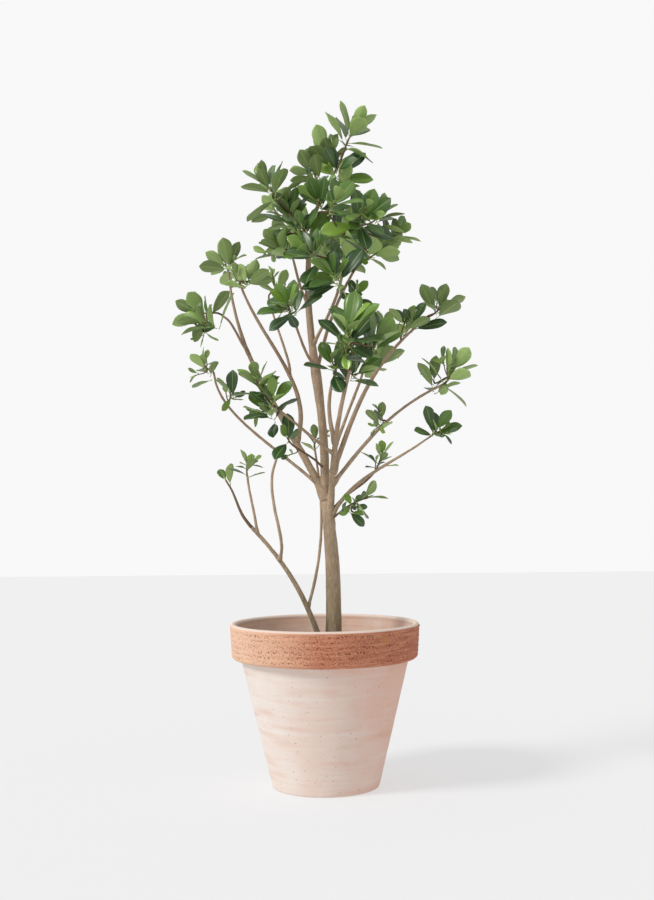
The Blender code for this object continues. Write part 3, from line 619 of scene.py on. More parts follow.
class BANYAN_PG_pot(bpy.types.PropertyGroup):
    """Sizes and colours of the pot and its soil."""

    ridge: FloatProperty(name="Ridge depth", description="Depth of the rim band's turned ridges",
                         default=0.0011, min=0.0, max=0.003, unit="LENGTH")
    pitting: FloatProperty(name="Pitting", description="Depth of the rim band's pits",
                           default=0.0013, min=0.0, max=0.003, unit="LENGTH")
    body_colour: colour_property("Body", "Pink clay of the tapered body", (0.875, 0.725, 0.655))
    # The bloom's white also paints the key light on the body's left side.
    bloom_and_painted_light_colour: colour_property("Bloom", "White lime bloom on the clay", (0.90, 0.87, 0.84))
    band_colour: colour_property("Band", "Rough clay of the rim band", (0.68, 0.40, 0.29))
    # This pale colour also paints the key light on the band's left side.
    band_light_colour: colour_property("Band ridges", "Worn ridges of the rim band", (0.84, 0.60, 0.47))
    inner_colour: colour_property("Inside", "Clay of the inner wall", (0.86, 0.72, 0.64))
    soil_colour: colour_property("Soil", "Potting soil", (0.22, 0.16, 0.12))


class BANYAN_PG_wood(bpy.types.PropertyGroup):
    """Relief and colours of the bark."""

    relief: FloatProperty(name="Relief", description="Height of the bark's ridges on the trunk",
                          default=0.00035, min=0.0, max=0.002, unit="LENGTH")
    voxel: FloatProperty(name="Voxel", description="Fineness of the joined trunk and stems",
                         default=0.0011, min=0.0008, max=0.004, unit="LENGTH")
    bark_colour: colour_property("Bark", "Bark of the trunk", (0.70, 0.60, 0.49))
    old_colour: colour_property("Old bark", "Olive bark near the soil", (0.55, 0.49, 0.36))
    young_colour: colour_property("Young bark", "Pinkish bark of the upper boughs", (0.66, 0.54, 0.45))
    twig_colour: colour_property("Twigs", "Bark of the thin twigs", (0.42, 0.33, 0.24))


class BANYAN_PG_leaves(bpy.types.PropertyGroup):
    """Shape and colours of the leaves."""

    width: FloatProperty(name="Width", description="Half width of a leaf as a share of its length",
                         default=0.225, min=0.1, max=0.4)
    fold: FloatProperty(name="Fold", description="Rise of the edges over the midrib",
                        default=0.22, min=0.0, max=0.6)
    droop: FloatProperty(name="Droop", description="How far a leaf's tip bends down",
                         default=0.10, min=0.0, max=0.4)
    fine_shoots: IntProperty(name="Fine shoots", description="Short side shoots tried on each mass",
                             default=2, min=0, max=8)
    old_colour: colour_property("Old leaves", "Top of the oldest leaves", (0.16, 0.29, 0.13))
    young_colour: colour_property("Young leaves", "Top of the youngest leaves", (0.52, 0.66, 0.24))
    under_colour: colour_property("Undersides", "Underside of the leaves", (0.58, 0.68, 0.40))
    rib_colour: colour_property("Midrib", "Pale midrib and leaf stalk", (0.66, 0.74, 0.44))


class BANYAN_PG_stage(bpy.types.PropertyGroup):
    """Floor and light."""

    floor_colour: colour_property("Floor", "Pale floor", (0.63, 0.63, 0.635))
    glow: FloatProperty(name="Floor glow", description="Evenness of the floor's white", default=0.52,
                        min=0.0, max=1.0)
    key: FloatProperty(name="Key light", description="Strength of the soft light from the left",
                       default=1.9, min=0.0, max=20.0)
    fill: FloatProperty(name="Fill light", description="Strength of the even light all round",
                        default=0.62, min=0.0, max=3.0)
    backdrop: FloatProperty(name="Backdrop", description="Brightness of the backdrop",
                            default=0.945, min=0.0, max=3.0)


def new_material(name):
    """A material, its shader and a way to add nodes to it."""
    made = bpy.data.materials.new(name)
    made.use_nodes = True
    return made, made.node_tree.nodes["Principled BSDF"], Nodes(made.node_tree)


def plain(name, colour, roughness, coat=0.0):
    made, shader, _ = new_material(name)
    shader.inputs["Base Color"].default_value = linear(colour)
    shader.inputs["Roughness"].default_value = roughness
    if coat:
        shader.inputs["Coat Weight"].default_value = coat
        shader.inputs["Coat Roughness"].default_value = LEAF_COAT_ROUGHNESS
    return made


class Nodes:
    """Short ways to place and link shader nodes in one tree."""

    def __init__(self, tree):
        self.tree = tree

    def place(self, kind, settings=None, **values):
        node = self.tree.nodes.new(kind)
        for key, value in (settings or {}).items():
            setattr(node, key, value)
        for key, value in values.items():
            self.feed(node.inputs[key.replace("_", " ")], value)
        return node

    def feed(self, socket, value):
        if isinstance(value, bpy.types.NodeSocket):
            self.tree.links.new(value, socket)
        else:
            socket.default_value = value

    def noise(self, where, scale, detail=3.0, roughness=0.55, distortion=0.0):
        node = self.place("ShaderNodeTexNoise", Vector=where, Scale=scale, Detail=detail,
                          Roughness=roughness, Distortion=distortion)
        return node.outputs["Fac"]

    def range(self, value, low, high, to_low=0.0, to_high=1.0):
        node = self.place("ShaderNodeMapRange", Value=value, From_Min=low, From_Max=high,
                          To_Min=to_low, To_Max=to_high)
        return node.outputs["Result"]

    def mix(self, share, first, second):
        node = self.place("ShaderNodeMix", {"data_type": "RGBA"})
        self.feed(node.inputs["Factor"], share)
        self.feed(node.inputs[6], first)
        self.feed(node.inputs[7], second)
        return node.outputs[2]

    def maths(self, operation, first, second=0.0):
        node = self.place("ShaderNodeMath", {"operation": operation})
        self.feed(node.inputs[0], first)
        self.feed(node.inputs[1], second)
        return node.outputs[0]

    def here(self):
        return self.place("ShaderNodeTexCoord").outputs["Object"]

    def stretched(self, *scale):
        """Object coordinates, stretched by a scale on each axis."""
        return self.place("ShaderNodeMapping", Vector=self.here(), Scale=scale).outputs["Vector"]

    def part(self, axis):
        return self.place("ShaderNodeSeparateXYZ", Vector=self.here()).outputs[axis]

    def bump(self, height, distance):
        return self.place("ShaderNodeBump", Height=height, Distance=distance).outputs["Normal"]

    def group(self, made, **values):
        return self.place("ShaderNodeGroup", {"node_tree": made}, **values).outputs


def node_group(name, takes, gives):
    """A node group with named inputs and outputs. Also its nodes, and the sockets inside it."""
    made = bpy.data.node_groups.new(name, "ShaderNodeTree")
    for way, sockets in (("INPUT", takes), ("OUTPUT", gives)):
        for label, kind in sockets.items():
            made.interface.new_socket(label, in_out=way, socket_type="NodeSocket" + kind)
    n = Nodes(made)
    return made, n, n.place("NodeGroupInput").outputs, n.place("NodeGroupOutput").inputs


def painted_light_group():
    """Painted light: a share that goes from 1 at the pot's left, the side that faces the key light, to 0 at
    its right, with a ragged edge.
    """
    made, n, takes, gives = node_group("painted_light_share", {"Left": "Float", "Right": "Float"}, {"Share": "Float"})
    ragged = n.maths("MULTIPLY", n.noise(n.here(), 9, 4, 0.6), 0.05)
    across = n.maths("SUBTRACT", n.part("X"), ragged)
    n.feed(gives["Share"], n.range(across, takes["Right"], takes["Left"]))
    return made


def stain_group():
    """A colour with a round stain of another colour at a place."""
    made, n, takes, gives = node_group(
        "stain", {"Colour": "Color", "Stain": "Color", "Place": "Vector", "Edge": "Float", "Core": "Float",
                  "Share": "Float"}, {"Colour": "Color"})
    away = n.place("ShaderNodeVectorMath", {"operation": "DISTANCE"})
    n.feed(away.inputs[0], n.here())
    n.feed(away.inputs[1], takes["Place"])
    near = n.range(away.outputs["Value"], takes["Edge"], takes["Core"], 0.0, takes["Share"])
    n.feed(gives["Colour"], n.mix(near, takes["Colour"], takes["Stain"]))
    return made


def grain_group():
    """The clay's fine grain, and the slope that it and the turned lines give the surface."""
    made, n, takes, gives = node_group(
        "clay grain", {"Lines": "Float", "Fineness": "Float", "Harshness": "Float", "Depth": "Float"},
        {"Grain": "Float", "Normal": "Vector"})
    grain = n.noise(n.here(), takes["Fineness"], 3, takes["Harshness"])
    n.feed(gives["Grain"], grain)
    n.feed(gives["Normal"], n.bump(n.maths("ADD", takes["Lines"], grain), takes["Depth"]))
    return made


def body_material(pot, painted_light_share, grain):
    """Fired clay under a chalky bloom, with faint turned lines and few specks, and painted light: the clay is
    paler towards the left, where the key light falls.
    """
    made, shader, n = new_material("chalky clay")
    here = n.here()
    lines = n.noise(n.stretched(5, 5, 150), 1.0, 4, 0.62)
    streaks = n.noise(n.stretched(9, 9, 60), 1.0, 3, 0.5)
    blotch = n.noise(here, 11, 4, 0.6, 0.3)
    # Painted light: the clay turns paler towards the left, the side the key light falls on; the blotches and
    # turned lines added next are the chalky bloom.
    bloom_and_painted_light = n.maths("MULTIPLY", n.group(painted_light_share, Left=-0.13, Right=0.10)["Share"], 0.85)
    bloom_and_painted_light = n.maths("ADD", bloom_and_painted_light, n.range(blotch, 0.42, 0.75, -0.10, 0.22))
    bloom_and_painted_light = n.maths("ADD", bloom_and_painted_light, n.range(lines, 0.50, 0.72, 0.0, 0.30))
    colour = n.mix(bloom_and_painted_light, linear(pot.body_colour), linear(pot.bloom_and_painted_light_colour))
    colour = n.mix(n.range(streaks, 0.52, 0.74, 0.0, 0.45), colour, linear(STREAK_COLOUR))
    speck = n.range(n.noise(here, 300, 1, 0.2), 0.745, 0.775, 0.0, 0.55)
    n.feed(shader.inputs["Base Color"], n.mix(speck, colour, linear(SPECK_COLOUR)))
    fine = n.group(grain, Lines=n.maths("MULTIPLY", lines, 0.8), Fineness=500, Harshness=0.7, Depth=0.00025)
    n.feed(shader.inputs["Roughness"], n.range(fine["Grain"], 0.3, 0.7, 0.80, 0.95))
    n.feed(shader.inputs["Normal"], fine["Normal"])
    return made


def band_material(pot, painted_light_share, stain, grain):
    """Rough scraped clay: pale worn ridges, dark pits with painted shade, and painted light that makes it
    paler towards the left, where the key light falls, with one ochre blotch.
    """
    made, shader, n = new_material("rough rim clay")
    rows = n.noise(n.stretched(26, 26, 330), 1.0, 4, 0.65)
    broad = n.noise(n.stretched(8, 8, 30), 1.0, 3, 0.6)
    fine = n.group(grain, Fineness=430, Harshness=0.65, Depth=0.0006)
    wear_and_painted_light = n.range(fine["Grain"], 0.40, 0.66, 0.0, 0.40)
    wear_and_painted_light = n.maths("ADD", n.range(rows, 0.42, 0.66, 0.0, 0.55), wear_and_painted_light)
    wear_and_painted_light = n.maths("ADD", wear_and_painted_light, n.range(broad, 0.4, 0.7, -0.15, 0.15))
    # Painted light: the band is made paler towards the left, where the key light falls.
    side = n.group(painted_light_share, Left=-0.15, Right=0.03)["Share"]
    wear_and_painted_light = n.maths("ADD", wear_and_painted_light, n.maths("MULTIPLY", side, 0.45))
    colour = n.mix(wear_and_painted_light, linear(pot.band_colour), linear(pot.band_light_colour))
    # Painted light: a pale tint on the band's far left, the side the key light falls on.
    far = n.group(painted_light_share, Left=-0.16, Right=-0.04)["Share"]
    colour = n.mix(n.maths("MULTIPLY", far, 0.75), colour, linear(BAND_PAINTED_LIGHT_COLOUR))
    # Painted shade: the pits are darkened the deeper they lie.
    depth = n.place("ShaderNodeAttribute", {"attribute_name": PIT_LAYER}).outputs["Fac"]
    colour = n.mix(n.range(depth, 0.15, 0.75, 0.0, 0.8), colour, linear(PIT_PAINTED_SHADE_COLOUR))
    colour = n.group(stain, Colour=colour, Stain=linear(BLOTCH_COLOUR), Place=BLOTCH, Edge=0.011, Core=0.004,
                     Share=0.6)["Colour"]
    n.feed(shader.inputs["Base Color"], colour)
    n.feed(shader.inputs["Roughness"], n.range(fine["Grain"], 0.3, 0.7, 0.85, 0.98))
    n.feed(shader.inputs["Normal"], fine["Normal"])
    return made


def inner_material(pot, stain, grain):
    """Clay of the inner wall and the lip, with faint rings and a brown mark."""
    made, shader, n = new_material("inner clay")
    rings = n.noise(n.stretched(4, 4, 190), 1.0, 4, 0.6)
    blotch = n.noise(n.here(), 24, 4, 0.6)
    colour = n.mix(n.range(rings, 0.46, 0.70, 0.0, 0.5), linear(pot.inner_colour), linear(RING_COLOUR))
    colour = n.mix(n.range(blotch, 0.45, 0.7, 0.0, 0.35), colour, linear(pot.bloom_and_painted_light_colour))
    lip = n.range(n.part("Z"), POT_HEIGHT - 0.006, POT_HEIGHT - 0.002)
    colour = n.mix(lip, colour, linear(LIP_COLOUR))
    colour = n.group(stain, Colour=colour, Stain=linear(STAIN_COLOUR), Place=STAIN, Edge=0.008, Core=0.002,
                     Share=0.7)["Colour"]
    n.feed(shader.inputs["Base Color"], colour)
    shader.inputs["Roughness"].default_value = 0.9
    fine = n.group(grain, Lines=rings, Fineness=420, Harshness=0.7, Depth=0.0003)
    n.feed(shader.inputs["Normal"], fine["Normal"])
    return made


def soil_material(colour):
    made, shader, n = new_material("potting soil")
    here = n.here()
    crumbs = n.noise(here, 160, 6, 0.7)
    mixed = n.mix(n.range(crumbs, 0.35, 0.7), linear([c * 0.6 for c in colour]),
                  linear([min(1, c * 1.6) for c in colour]))
    n.feed(shader.inputs["Base Color"], mixed)
    shader.inputs["Roughness"].default_value = 0.95
    n.feed(shader.inputs["Normal"], n.bump(crumbs, 0.002))
    return made


def bark_material(wood):
    """Bark that goes from olive at the foot to pinkish brown above, with fine specks and streaks."""
    made, shader, n = new_material("fig bark")
    here = n.here()
    tall = n.part("Z")
    colour = n.mix(n.range(tall, 0.24, 0.42), linear(wood.old_colour), linear(wood.bark_colour))
    colour = n.mix(n.range(tall, 0.50, 0.70), colour, linear(wood.young_colour))
    patches = n.noise(here, 45, 5, 0.6)
    colour = n.mix(n.range(patches, 0.42, 0.62, 0.0, 0.45), colour, linear(PATCH_COLOUR))
    streaks = n.noise(n.stretched(420, 420, 70), 1.0, 4, 0.65)
    colour = n.mix(n.range(streaks, 0.48, 0.68, 0.0, 0.5), colour, linear(BARK_STREAK_COLOUR))
    specks = n.noise(here, 650, 2, 0.5)
    colour = n.mix(n.range(specks, 0.60, 0.70, 0.0, 0.6), colour, linear(BARK_SPECK_COLOUR))
    n.feed(shader.inputs["Base Color"], colour)
    n.feed(shader.inputs["Roughness"], n.range(streaks, 0.3, 0.7, 0.66, 0.86))
    n.feed(shader.inputs["Normal"], n.bump(n.maths("ADD", streaks, specks), 0.0004))
    return made


def object_of(name, work_or_mesh, materials):
    """An object at the origin from a bmesh or a mesh, with its materials."""
    if isinstance(work_or_mesh, bmesh.types.BMesh):
        mesh = bpy.data.meshes.new(name)
        work_or_mesh.to_mesh(mesh)
        work_or_mesh.free()
    else:
        mesh = work_or_mesh
        mesh.name = name
    for surface in materials:
        mesh.materials.append(surface)
    obj = bpy.data.objects.new(name, mesh)
    bpy.context.scene.collection.objects.link(obj)
    return obj


def adopt(obj, slot, *nodes):
    """The piece rides on the plant's body and stands for these nodes. The slot is not used."""
    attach(obj, BODY)
    if nodes:
        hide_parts(*nodes)


def applied(obj):
    """A mesh with the object's modifiers in it. The object itself is removed."""
    bpy.context.view_layer.update()
    graph = bpy.context.evaluated_depsgraph_get()
    mesh = bpy.data.meshes.new_from_object(obj.evaluated_get(graph))
    old = obj.data
    bpy.data.objects.remove(obj, do_unlink=True)
    if isinstance(old, bpy.types.Mesh):
        bpy.data.meshes.remove(old)
    else:
        bpy.data.curves.remove(old)
    return mesh


def swept(paths, detail):
    """Mesh of round tubes along (points, radii) paths, with closed ends."""
    curve = bpy.data.curves.new("sweep", "CURVE")
    curve.dimensions = "3D"
    curve.bevel_depth = 1.0
    curve.bevel_resolution = detail
    curve.use_fill_caps = True
    for points, radii in paths:
        line = curve.splines.new("POLY")
        line.points.add(len(points) - 1)
        line.points.foreach_set("co", [c for p in points for c in (*p, 1.0)])
        line.points.foreach_set("radius", list(radii))
    guide = bpy.data.objects.new("sweep", curve)
    bpy.context.scene.collection.objects.link(guide)
    mesh = applied(guide)
    work = bmesh.new()
    work.from_mesh(mesh)
    bmesh.ops.remove_doubles(work, verts=work.verts, dist=1e-7)
    bmesh.ops.recalc_face_normals(work, faces=work.faces)
    work.to_mesh(mesh)
    work.free()
    mesh.materials.clear()
    return mesh


def arc(centre, radius, start, end, count):
    points = []
    for i in range(count):
        angle = math.radians(start + (end - start) * i / (count - 1))
        points.append((centre[0] + radius * math.cos(angle), centre[1] + radius * math.sin(angle)))
    return points


def inner_radius(height):
    foot = FOOT_RADIUS - WALL
    shoulder = BODY_TOP_RADIUS - WALL
    if height <= BODY_TOP:
        return foot + (shoulder - foot) * height / BODY_TOP
    mouth = RIM_RADIUS - WALL
    return shoulder + (mouth - shoulder) * (height - BODY_TOP) / (POT_HEIGHT - WALL / 2 - BODY_TOP)


def stepped(profile, step):
    """A profile with extra points, so that none lie further apart than a step."""
    points = [profile[0]]
    for (r0, z0), (r1, z1) in zip(profile, profile[1:]):
        pieces = max(1, math.ceil(math.hypot(r1 - r0, z1 - z0) / step))
        for piece in range(1, pieces + 1):
            t = piece / pieces
            points.append((r0 + (r1 - r0) * t, z0 + (z1 - z0) * t))
    return points


def spun(profile, turns, closed=False):
    """A bmesh of revolution from (radius, height) pairs. A closed profile gives a ring."""
    work = bmesh.new()
    verts = [work.verts.new((r, 0, z)) for r, z in profile]
    edges = [work.edges.new(pair) for pair in zip(verts, verts[1:] + verts[:1] if closed else verts[1:])]
    bmesh.ops.spin(work, geom=verts + edges, cent=(0, 0, 0), axis=(0, 0, 1), angle=2 * math.pi,
                   steps=turns, use_merge=True)
    bmesh.ops.remove_doubles(work, verts=work.verts, dist=1e-6)
    bmesh.ops.recalc_face_normals(work, faces=work.faces)
    return work


def pot_relief(vert):
    """Moves one point of the pot in or out: faint turned lines that die out at the lip."""
    x, y, z = vert.co
    radius = math.hypot(x, y)
    if radius < 0.02 or z < 0.001:
        return
    outward = Vector((x / radius, y / radius, 0))
    move = 0.00020 * noise.noise(outward * 1.5 + Vector((0, 0, z * 240)))
    move += 0.00022 * noise.noise(outward * 4.0 + Vector((9, 0, z * 60)))
    if z > BAND_FOOT:
        move *= min(1.0, (POT_HEIGHT - z) / 0.006)
    vert.co += outward * move


def band_profile():
    """The band's outer face from inside the lip to under its rounded lower edge, then back in the wall."""
    top = arc(LIP_CENTRE, LIP, 90, 0, 8)
    edge = arc((RIM_FOOT_RADIUS - BAND_EDGE, BAND_FOOT + BAND_EDGE), BAND_EDGE, 0, -90, 9)
    face = stepped([top[-1], edge[0]], BAND_STEP)
    back = [(COLLAR[0], BAND_FOOT + 0.0006), (COLLAR[0] + 0.004, BAND_FOOT + 0.012),
            (LIP_CENTRE[0] - 0.001, LIP_CENTRE[1])]
    return top[:-1] + face + edge[1:] + back


def band_relief(work, pot):
    """Turned ridges and rows of scraped pits on the band. How deep each point lies is kept as a layer."""
    pits = work.verts.layers.float.new(PIT_LAYER)
    for vert in work.verts:
        x, y, z = vert.co
        radius = math.hypot(x, y)
        outward = Vector((x / radius, y / radius, 0))
        inside = min(1.0, (z - BAND_FOOT - 0.0005) / 0.004, (POT_HEIGHT - 0.0015 - z) / 0.005)
        if inside <= 0 or radius < RIM_FOOT_RADIUS - BAND_EDGE:
            continue
        around = math.atan2(y, x) * RIM_RADIUS
        wander = 0.0016 * noise.noise(outward * 2.2 + Vector((0, 0, z * 18)))
        ridges = 0.0
        for pitch, share, shift in RIDGES:
            ridges += share * math.sin(((z + wander) / pitch + shift) * 2 * math.pi)
        ridges += 0.7 * noise.noise(outward * 2.5 + Vector((5, 2, z * 260)))
        scrape = noise.noise(Vector((around * 330, z * 520, 3.0)))
        scrape += 0.6 * noise.noise(Vector((around * 620, z * 900, 8.0)))
        rows = 0.5 + 0.5 * math.sin(((z + wander) / RIDGES[0][0] + 0.6) * 2 * math.pi)
        rough = 0.45 + 0.9 * rows * (0.6 + noise.noise(outward * 6 + Vector((1, 7, z * 90))))
        pit = max(0.0, rough * (scrape + 0.05))
        vert[pits] = min(1.0, pit * 1.6) * inside
        vert.co += outward * inside * (pot.ridge * 0.32 * ridges - pot.pitting * min(1.0, pit))


def pot_profile():
    """Half outline of the whole pot, from the floor's middle over the lip and down to the underside."""
    inside = [(0.0, FLOOR), (inner_radius(FLOOR), FLOOR), (inner_radius(BODY_TOP), BODY_TOP)]
    over = arc(LIP_CENTRE, LIP, 180, 40, 11)
    profile = stepped(inside, 0.012)
    profile += stepped([profile[-1], over[0]], 0.003)[1:] + over[1:]
    profile += [(RIM_RADIUS - 0.0035, LIP_CENTRE[1]), (RIM_FOOT_RADIUS - 0.004, BAND_FOOT + BAND_EDGE),
                (COLLAR[0] + 0.003, BAND_FOOT + 0.0015)]
    profile += stepped([COLLAR, (BODY_TOP_RADIUS, BODY_TOP)], 0.002)
    profile += stepped([profile[-1], (FOOT_RADIUS + FOOT_BULGE, FOOT_EDGE)], 0.003)[1:]
    return profile + [(FOOT_RADIUS - 0.0006, 0.0005), (FOOT_RADIUS - FOOT_EDGE, 0.0), (0.07, 0.0), (0.0, 0.0)]


def drilled(pot):
    """The pot with its drain holes cut through the floor."""
    holes = []
    for number in range(DRAINS):
        angle = 2 * math.pi * (number + 0.5) / DRAINS
        cutter = bmesh.new()
        bmesh.ops.create_cone(cutter, cap_ends=True, segments=24, radius1=DRAIN_RADIUS, radius2=DRAIN_RADIUS,
                              depth=FLOOR * 3)
        bmesh.ops.translate(cutter, verts=cutter.verts,
                            vec=(DRAIN_RING * math.cos(angle), DRAIN_RING * math.sin(angle), 0))
        holes.append(object_of("drain hole", cutter, []))
        cut = pot.modifiers.new("Drain hole", "BOOLEAN")
        cut.operation = "DIFFERENCE"
        cut.solver = "EXACT"
        cut.object = holes[-1]
    mesh = applied(pot)
    for hole in holes:
        bpy.data.objects.remove(hole, do_unlink=True)
    return object_of("clay_pot", mesh, [])


class BANYAN_OT_pot(bpy.types.Operator):
    """Adds the clay pot with its rough rim band"""

    bl_idname = "banyan.pot"
    bl_label = "Pot"
    bl_options = {"REGISTER", "UNDO"}

    def execute(self, context):
        pot = context.scene.banyan_pot
        painted_light_share, stain, grain = painted_light_group(), stain_group(), grain_group()
        inner = inner_material(pot, stain, grain)
        work = spun(pot_profile(), POT_TURNS)
        for vert in work.verts:
            pot_relief(vert)
        work.normal_update()
        for face in work.faces:
            middle = face.calc_center_median()
            away = math.hypot(middle.x, middle.y)
            inside = away < inner_radius(middle.z) + 0.002 and middle.z > FLOOR - 0.001
            face.material_index = 1 if inside or middle.z > POT_HEIGHT - LIP else 0
            face.smooth = True
        made = drilled(object_of("pot blank", work, [body_material(pot, painted_light_share, grain), inner]))
        adopt(made, "clay", "pot")
        work = spun(band_profile(), BAND_TURNS, closed=True)
        band_relief(work, pot)
        bmesh.ops.create_icosphere(work, subdivisions=2, radius=CRUMB_SIZE,
                                   matrix=Matrix.Translation(CRUMB) @ Matrix.Diagonal((1.5, 1, 0.8, 1)))
        for face in work.faces:
            face.material_index = 1 if face.calc_center_median().z > POT_HEIGHT - 0.0035 else 0
            face.smooth = True
        made = object_of("rim_band", work, [band_material(pot, painted_light_share, stain, grain), inner])
        adopt(made, "clay", "pot")
        return {"FINISHED"}


class BANYAN_OT_soil(bpy.types.Operator):
    """Adds the potting soil with its crumbs"""

    bl_idname = "banyan.soil"
    bl_label = "Soil"
    bl_options = {"REGISTER", "UNDO"}

    def execute(self, context):
        rng = random.Random(11)
        edge = inner_radius(SOIL_TOP) - 0.0004
        profile = stepped([(0.0, SOIL_TOP), (edge, SOIL_TOP)], 0.0035)
        profile += [(edge - 0.004, SOIL_TOP - SOIL_DEPTH), (0.0, SOIL_TOP - SOIL_DEPTH)]
        work = spun(profile, 160)
        for vert in work.verts:
            if vert.co.z < SOIL_TOP - 0.001:
                continue
            wide = 1 - (math.hypot(vert.co.x, vert.co.y) / edge) ** 6
            rise = 0.004 * noise.noise(vert.co * 22) + 0.0022 * noise.noise(vert.co * 90)
            vert.co.z += wide * rise - 0.0008
        for _ in range(LUMPS):
            away = edge * 0.97 * math.sqrt(rng.random())
            turn = rng.uniform(0, 2 * math.pi)
            size = rng.uniform(0.0008, 0.0034) * rng.choice((0.7, 1.0, 1.2))
            spot = Vector((away * math.cos(turn), away * math.sin(turn), SOIL_TOP + size * 0.2))
            spot.z += 0.004 * noise.noise(spot * 22) * (1 - (away / edge) ** 6)
            turned_by = Matrix.Rotation(rng.uniform(0, 6), 4, Vector((rng.random(), rng.random(), 1)))
            flat = Matrix.Diagonal((1.0, rng.uniform(0.5, 1.0), rng.uniform(0.4, 0.8), 1.0))
            bmesh.ops.create_icosphere(work, subdivisions=1, radius=size,
                                       matrix=Matrix.Translation(spot) @ turned_by @ flat)
        made = object_of("potting_soil", work, [soil_material(context.scene.banyan_pot.soil_colour)])
        made.data.shade_smooth()
        adopt(made, "earth", "soil")
        return {"FINISHED"}


CORE = ("trunk", "right_stem", "left_bough", "side_stem")


def bark_relief(mesh, wood):
    """Moves the bark's points out and in: long low ridges, and small pores."""
    count = len(mesh.vertices)
    spots = np.zeros(count * 3, np.float32)
    mesh.vertices.foreach_get("co", spots)
    ways = np.zeros(count * 3, np.float32)
    mesh.vertex_normals.foreach_get("vector", ways)
    spots, ways = spots.reshape(-1, 3), ways.reshape(-1, 3)
    for i in range(count):
        x, y, z = (float(c) for c in spots[i])
        ridge = noise.noise((x * 230, y * 230, z * 42))
        lump = noise.noise((x * 60 + 9, y * 60, z * 34))
        pore = max(0.0, noise.noise((x * 520, y * 520, z * 520)) - 0.22)
        move = wood.relief * (0.8 * ridge + 0.9 * lump + 1.6 * pore)
        spots[i] += ways[i] * (move * max(0.45, min(1.0, 1.5 - z)))
    mesh.vertices.foreach_set("co", spots.ravel())
    mesh.update()


def collared(points, radii, carrier_radius):
    """Radii of a bough that widens where it leaves its carrier."""
    widened = []
    for radius, length in zip(radii, lengths_along(points)):
        past = max(0.0, length - carrier_radius) / (COLLAR_REACH * radius)
        widened.append(radius * (1 + COLLAR_SWELL * math.exp(-(past**2))))
    return widened


class BANYAN_OT_wood(bpy.types.Operator):
    """Adds the trunk, its stems and its boughs, with the bark's relief"""

    bl_idname = "banyan.wood"
    bl_label = "Trunk and boughs"
    bl_options = {"REGISTER", "UNDO"}

    def execute(self, context):
        wood = context.scene.banyan_wood
        paths = all_paths()
        carriers = {limb.name: limb for limb in LIMBS}
        core, thin = [], []
        for name, path in paths.items():
            points, radii = resampled(path, WOOD_STEP)
            if name in carriers and carriers[name].carrier:
                limb = carriers[name]
                lower = paths[limb.carrier]
                nearest = min(range(len(lower.points)), key=lambda i: (lower.points[i] - points[0]).length)
                radii = collared(points, radii, lower.radii[nearest])
            else:
                sunk = points[0] - Vector((0, 0, ROOT_DEPTH))
                points, radii = [sunk] + points, [radii[0] * ROOT_SWELL] + radii
            (core if name in CORE else thin).append((points, radii))
        bark = bark_material(wood)
        trunk = object_of("trunk core", swept(core, 5), [])
        remesh = trunk.modifiers.new("Join", "REMESH")
        remesh.mode = "VOXEL"
        remesh.voxel_size = wood.voxel
        mesh = applied(trunk)
        work = bmesh.new()
        work.from_mesh(mesh)
        for _ in range(SMOOTHINGS):
            bmesh.ops.smooth_vert(work, verts=work.verts, factor=0.5, use_axis_x=True, use_axis_y=True,
                                  use_axis_z=True)
        work.to_mesh(mesh)
        work.free()
        bark_relief(mesh, wood)
        made = object_of("trunk_and_stems", mesh, [bark])
        made.data.shade_smooth()
        adopt(made, "bark", *CORE)
        mesh = swept(thin, 3)
        bark_relief(mesh, wood)
        made = object_of("boughs", mesh, [bark])
        made.data.shade_smooth()
        adopt(made, "bark", *(name for name in paths if name not in CORE))
        return {"FINISHED"}


# Crown regions: the foliage masses that are joined into one piece
REGIONS = {
    "crown_top": ("top", "crown_left_upper", "crown_middle", "crown_left", "crown_inner"),
    "crown_right": ("crown_right_front", "crown_right", "crown_right_low", "crown_right_small"),
    "crown_front": ("crown_front", "crown_left_low", "crown_back_left", "crown_back_right"),
    "left": ("left_high", "left_middle", "left_far", "left_front", "left_back"),
    "low_left": ("low_left_tip", "low_left_side", "low_left_front", "low_left_pair", "low_centre",
                 "side_outer", "side_end"),
    "centre": ("centre_front", "centre", "centre_back"),
    "right": ("right_high", "right_high_small", "right_middle", "right_low", "right_inner", "right_back",
              "right_hanging"),
}

# Blade outline: share of the way from its foot to its point, and half width there against the widest
OUTLINE = ((0.0, 0.07), (0.10, 0.34), (0.24, 0.66), (0.40, 0.89), (0.56, 1.0), (0.70, 0.98), (0.82, 0.80),
           (0.91, 0.50), (0.97, 0.20), (1.0, 0.05))
COLUMNS = (-1.0, -0.56, -0.05, 0.05, 0.56, 1.0)
BLADE_FOOT = 0.17
TOP_TINTS = 9
UNDER_TINTS = 3
TINT_SWAY = (-1.4, 2.4)  # steps of tint by which a leaf may differ from its age's

# How leaves differ from one another: ranges of shares, and lengths as shares of the leaf's own
WIDTH_RANGE = (0.92, 1.08)
FOLD_RANGE = (0.5, 1.6)
DROOP_RANGE = (0.6, 1.9)
TWIST = 0.16
WAVE = 0.018
SWEEP = 0.05
SHOULDER = 0.10  # how far the edges reach forward of the midrib, as a share of the half width
RIPPLE = 0.0045
GROOVE = 0.006
EDGE_THICKNESS = 0.0004
RIB_THICKNESS = 0.0003  # more of it at the midrib

# Short side shoots, buds and leaf stalks
TWIG_STEP = 0.006
FINE_LEAF = 0.55  # length of a side shoot's leaves against the mass's
FINE_LEAVES = 4
FINE_LENGTH = (0.35, 0.6)  # of a side shoot, against the mass's full leaf
FINE_RADII = (0.0011, 0.0010, 0.0009, 0.0009, 0.0008)
BUD_RADII = (0.0013, 0.0014, 0.0009, 0.0002)
BUD_SHARE = 0.2
STALK_RADII = (0.0009, 0.0007, 0.0006)


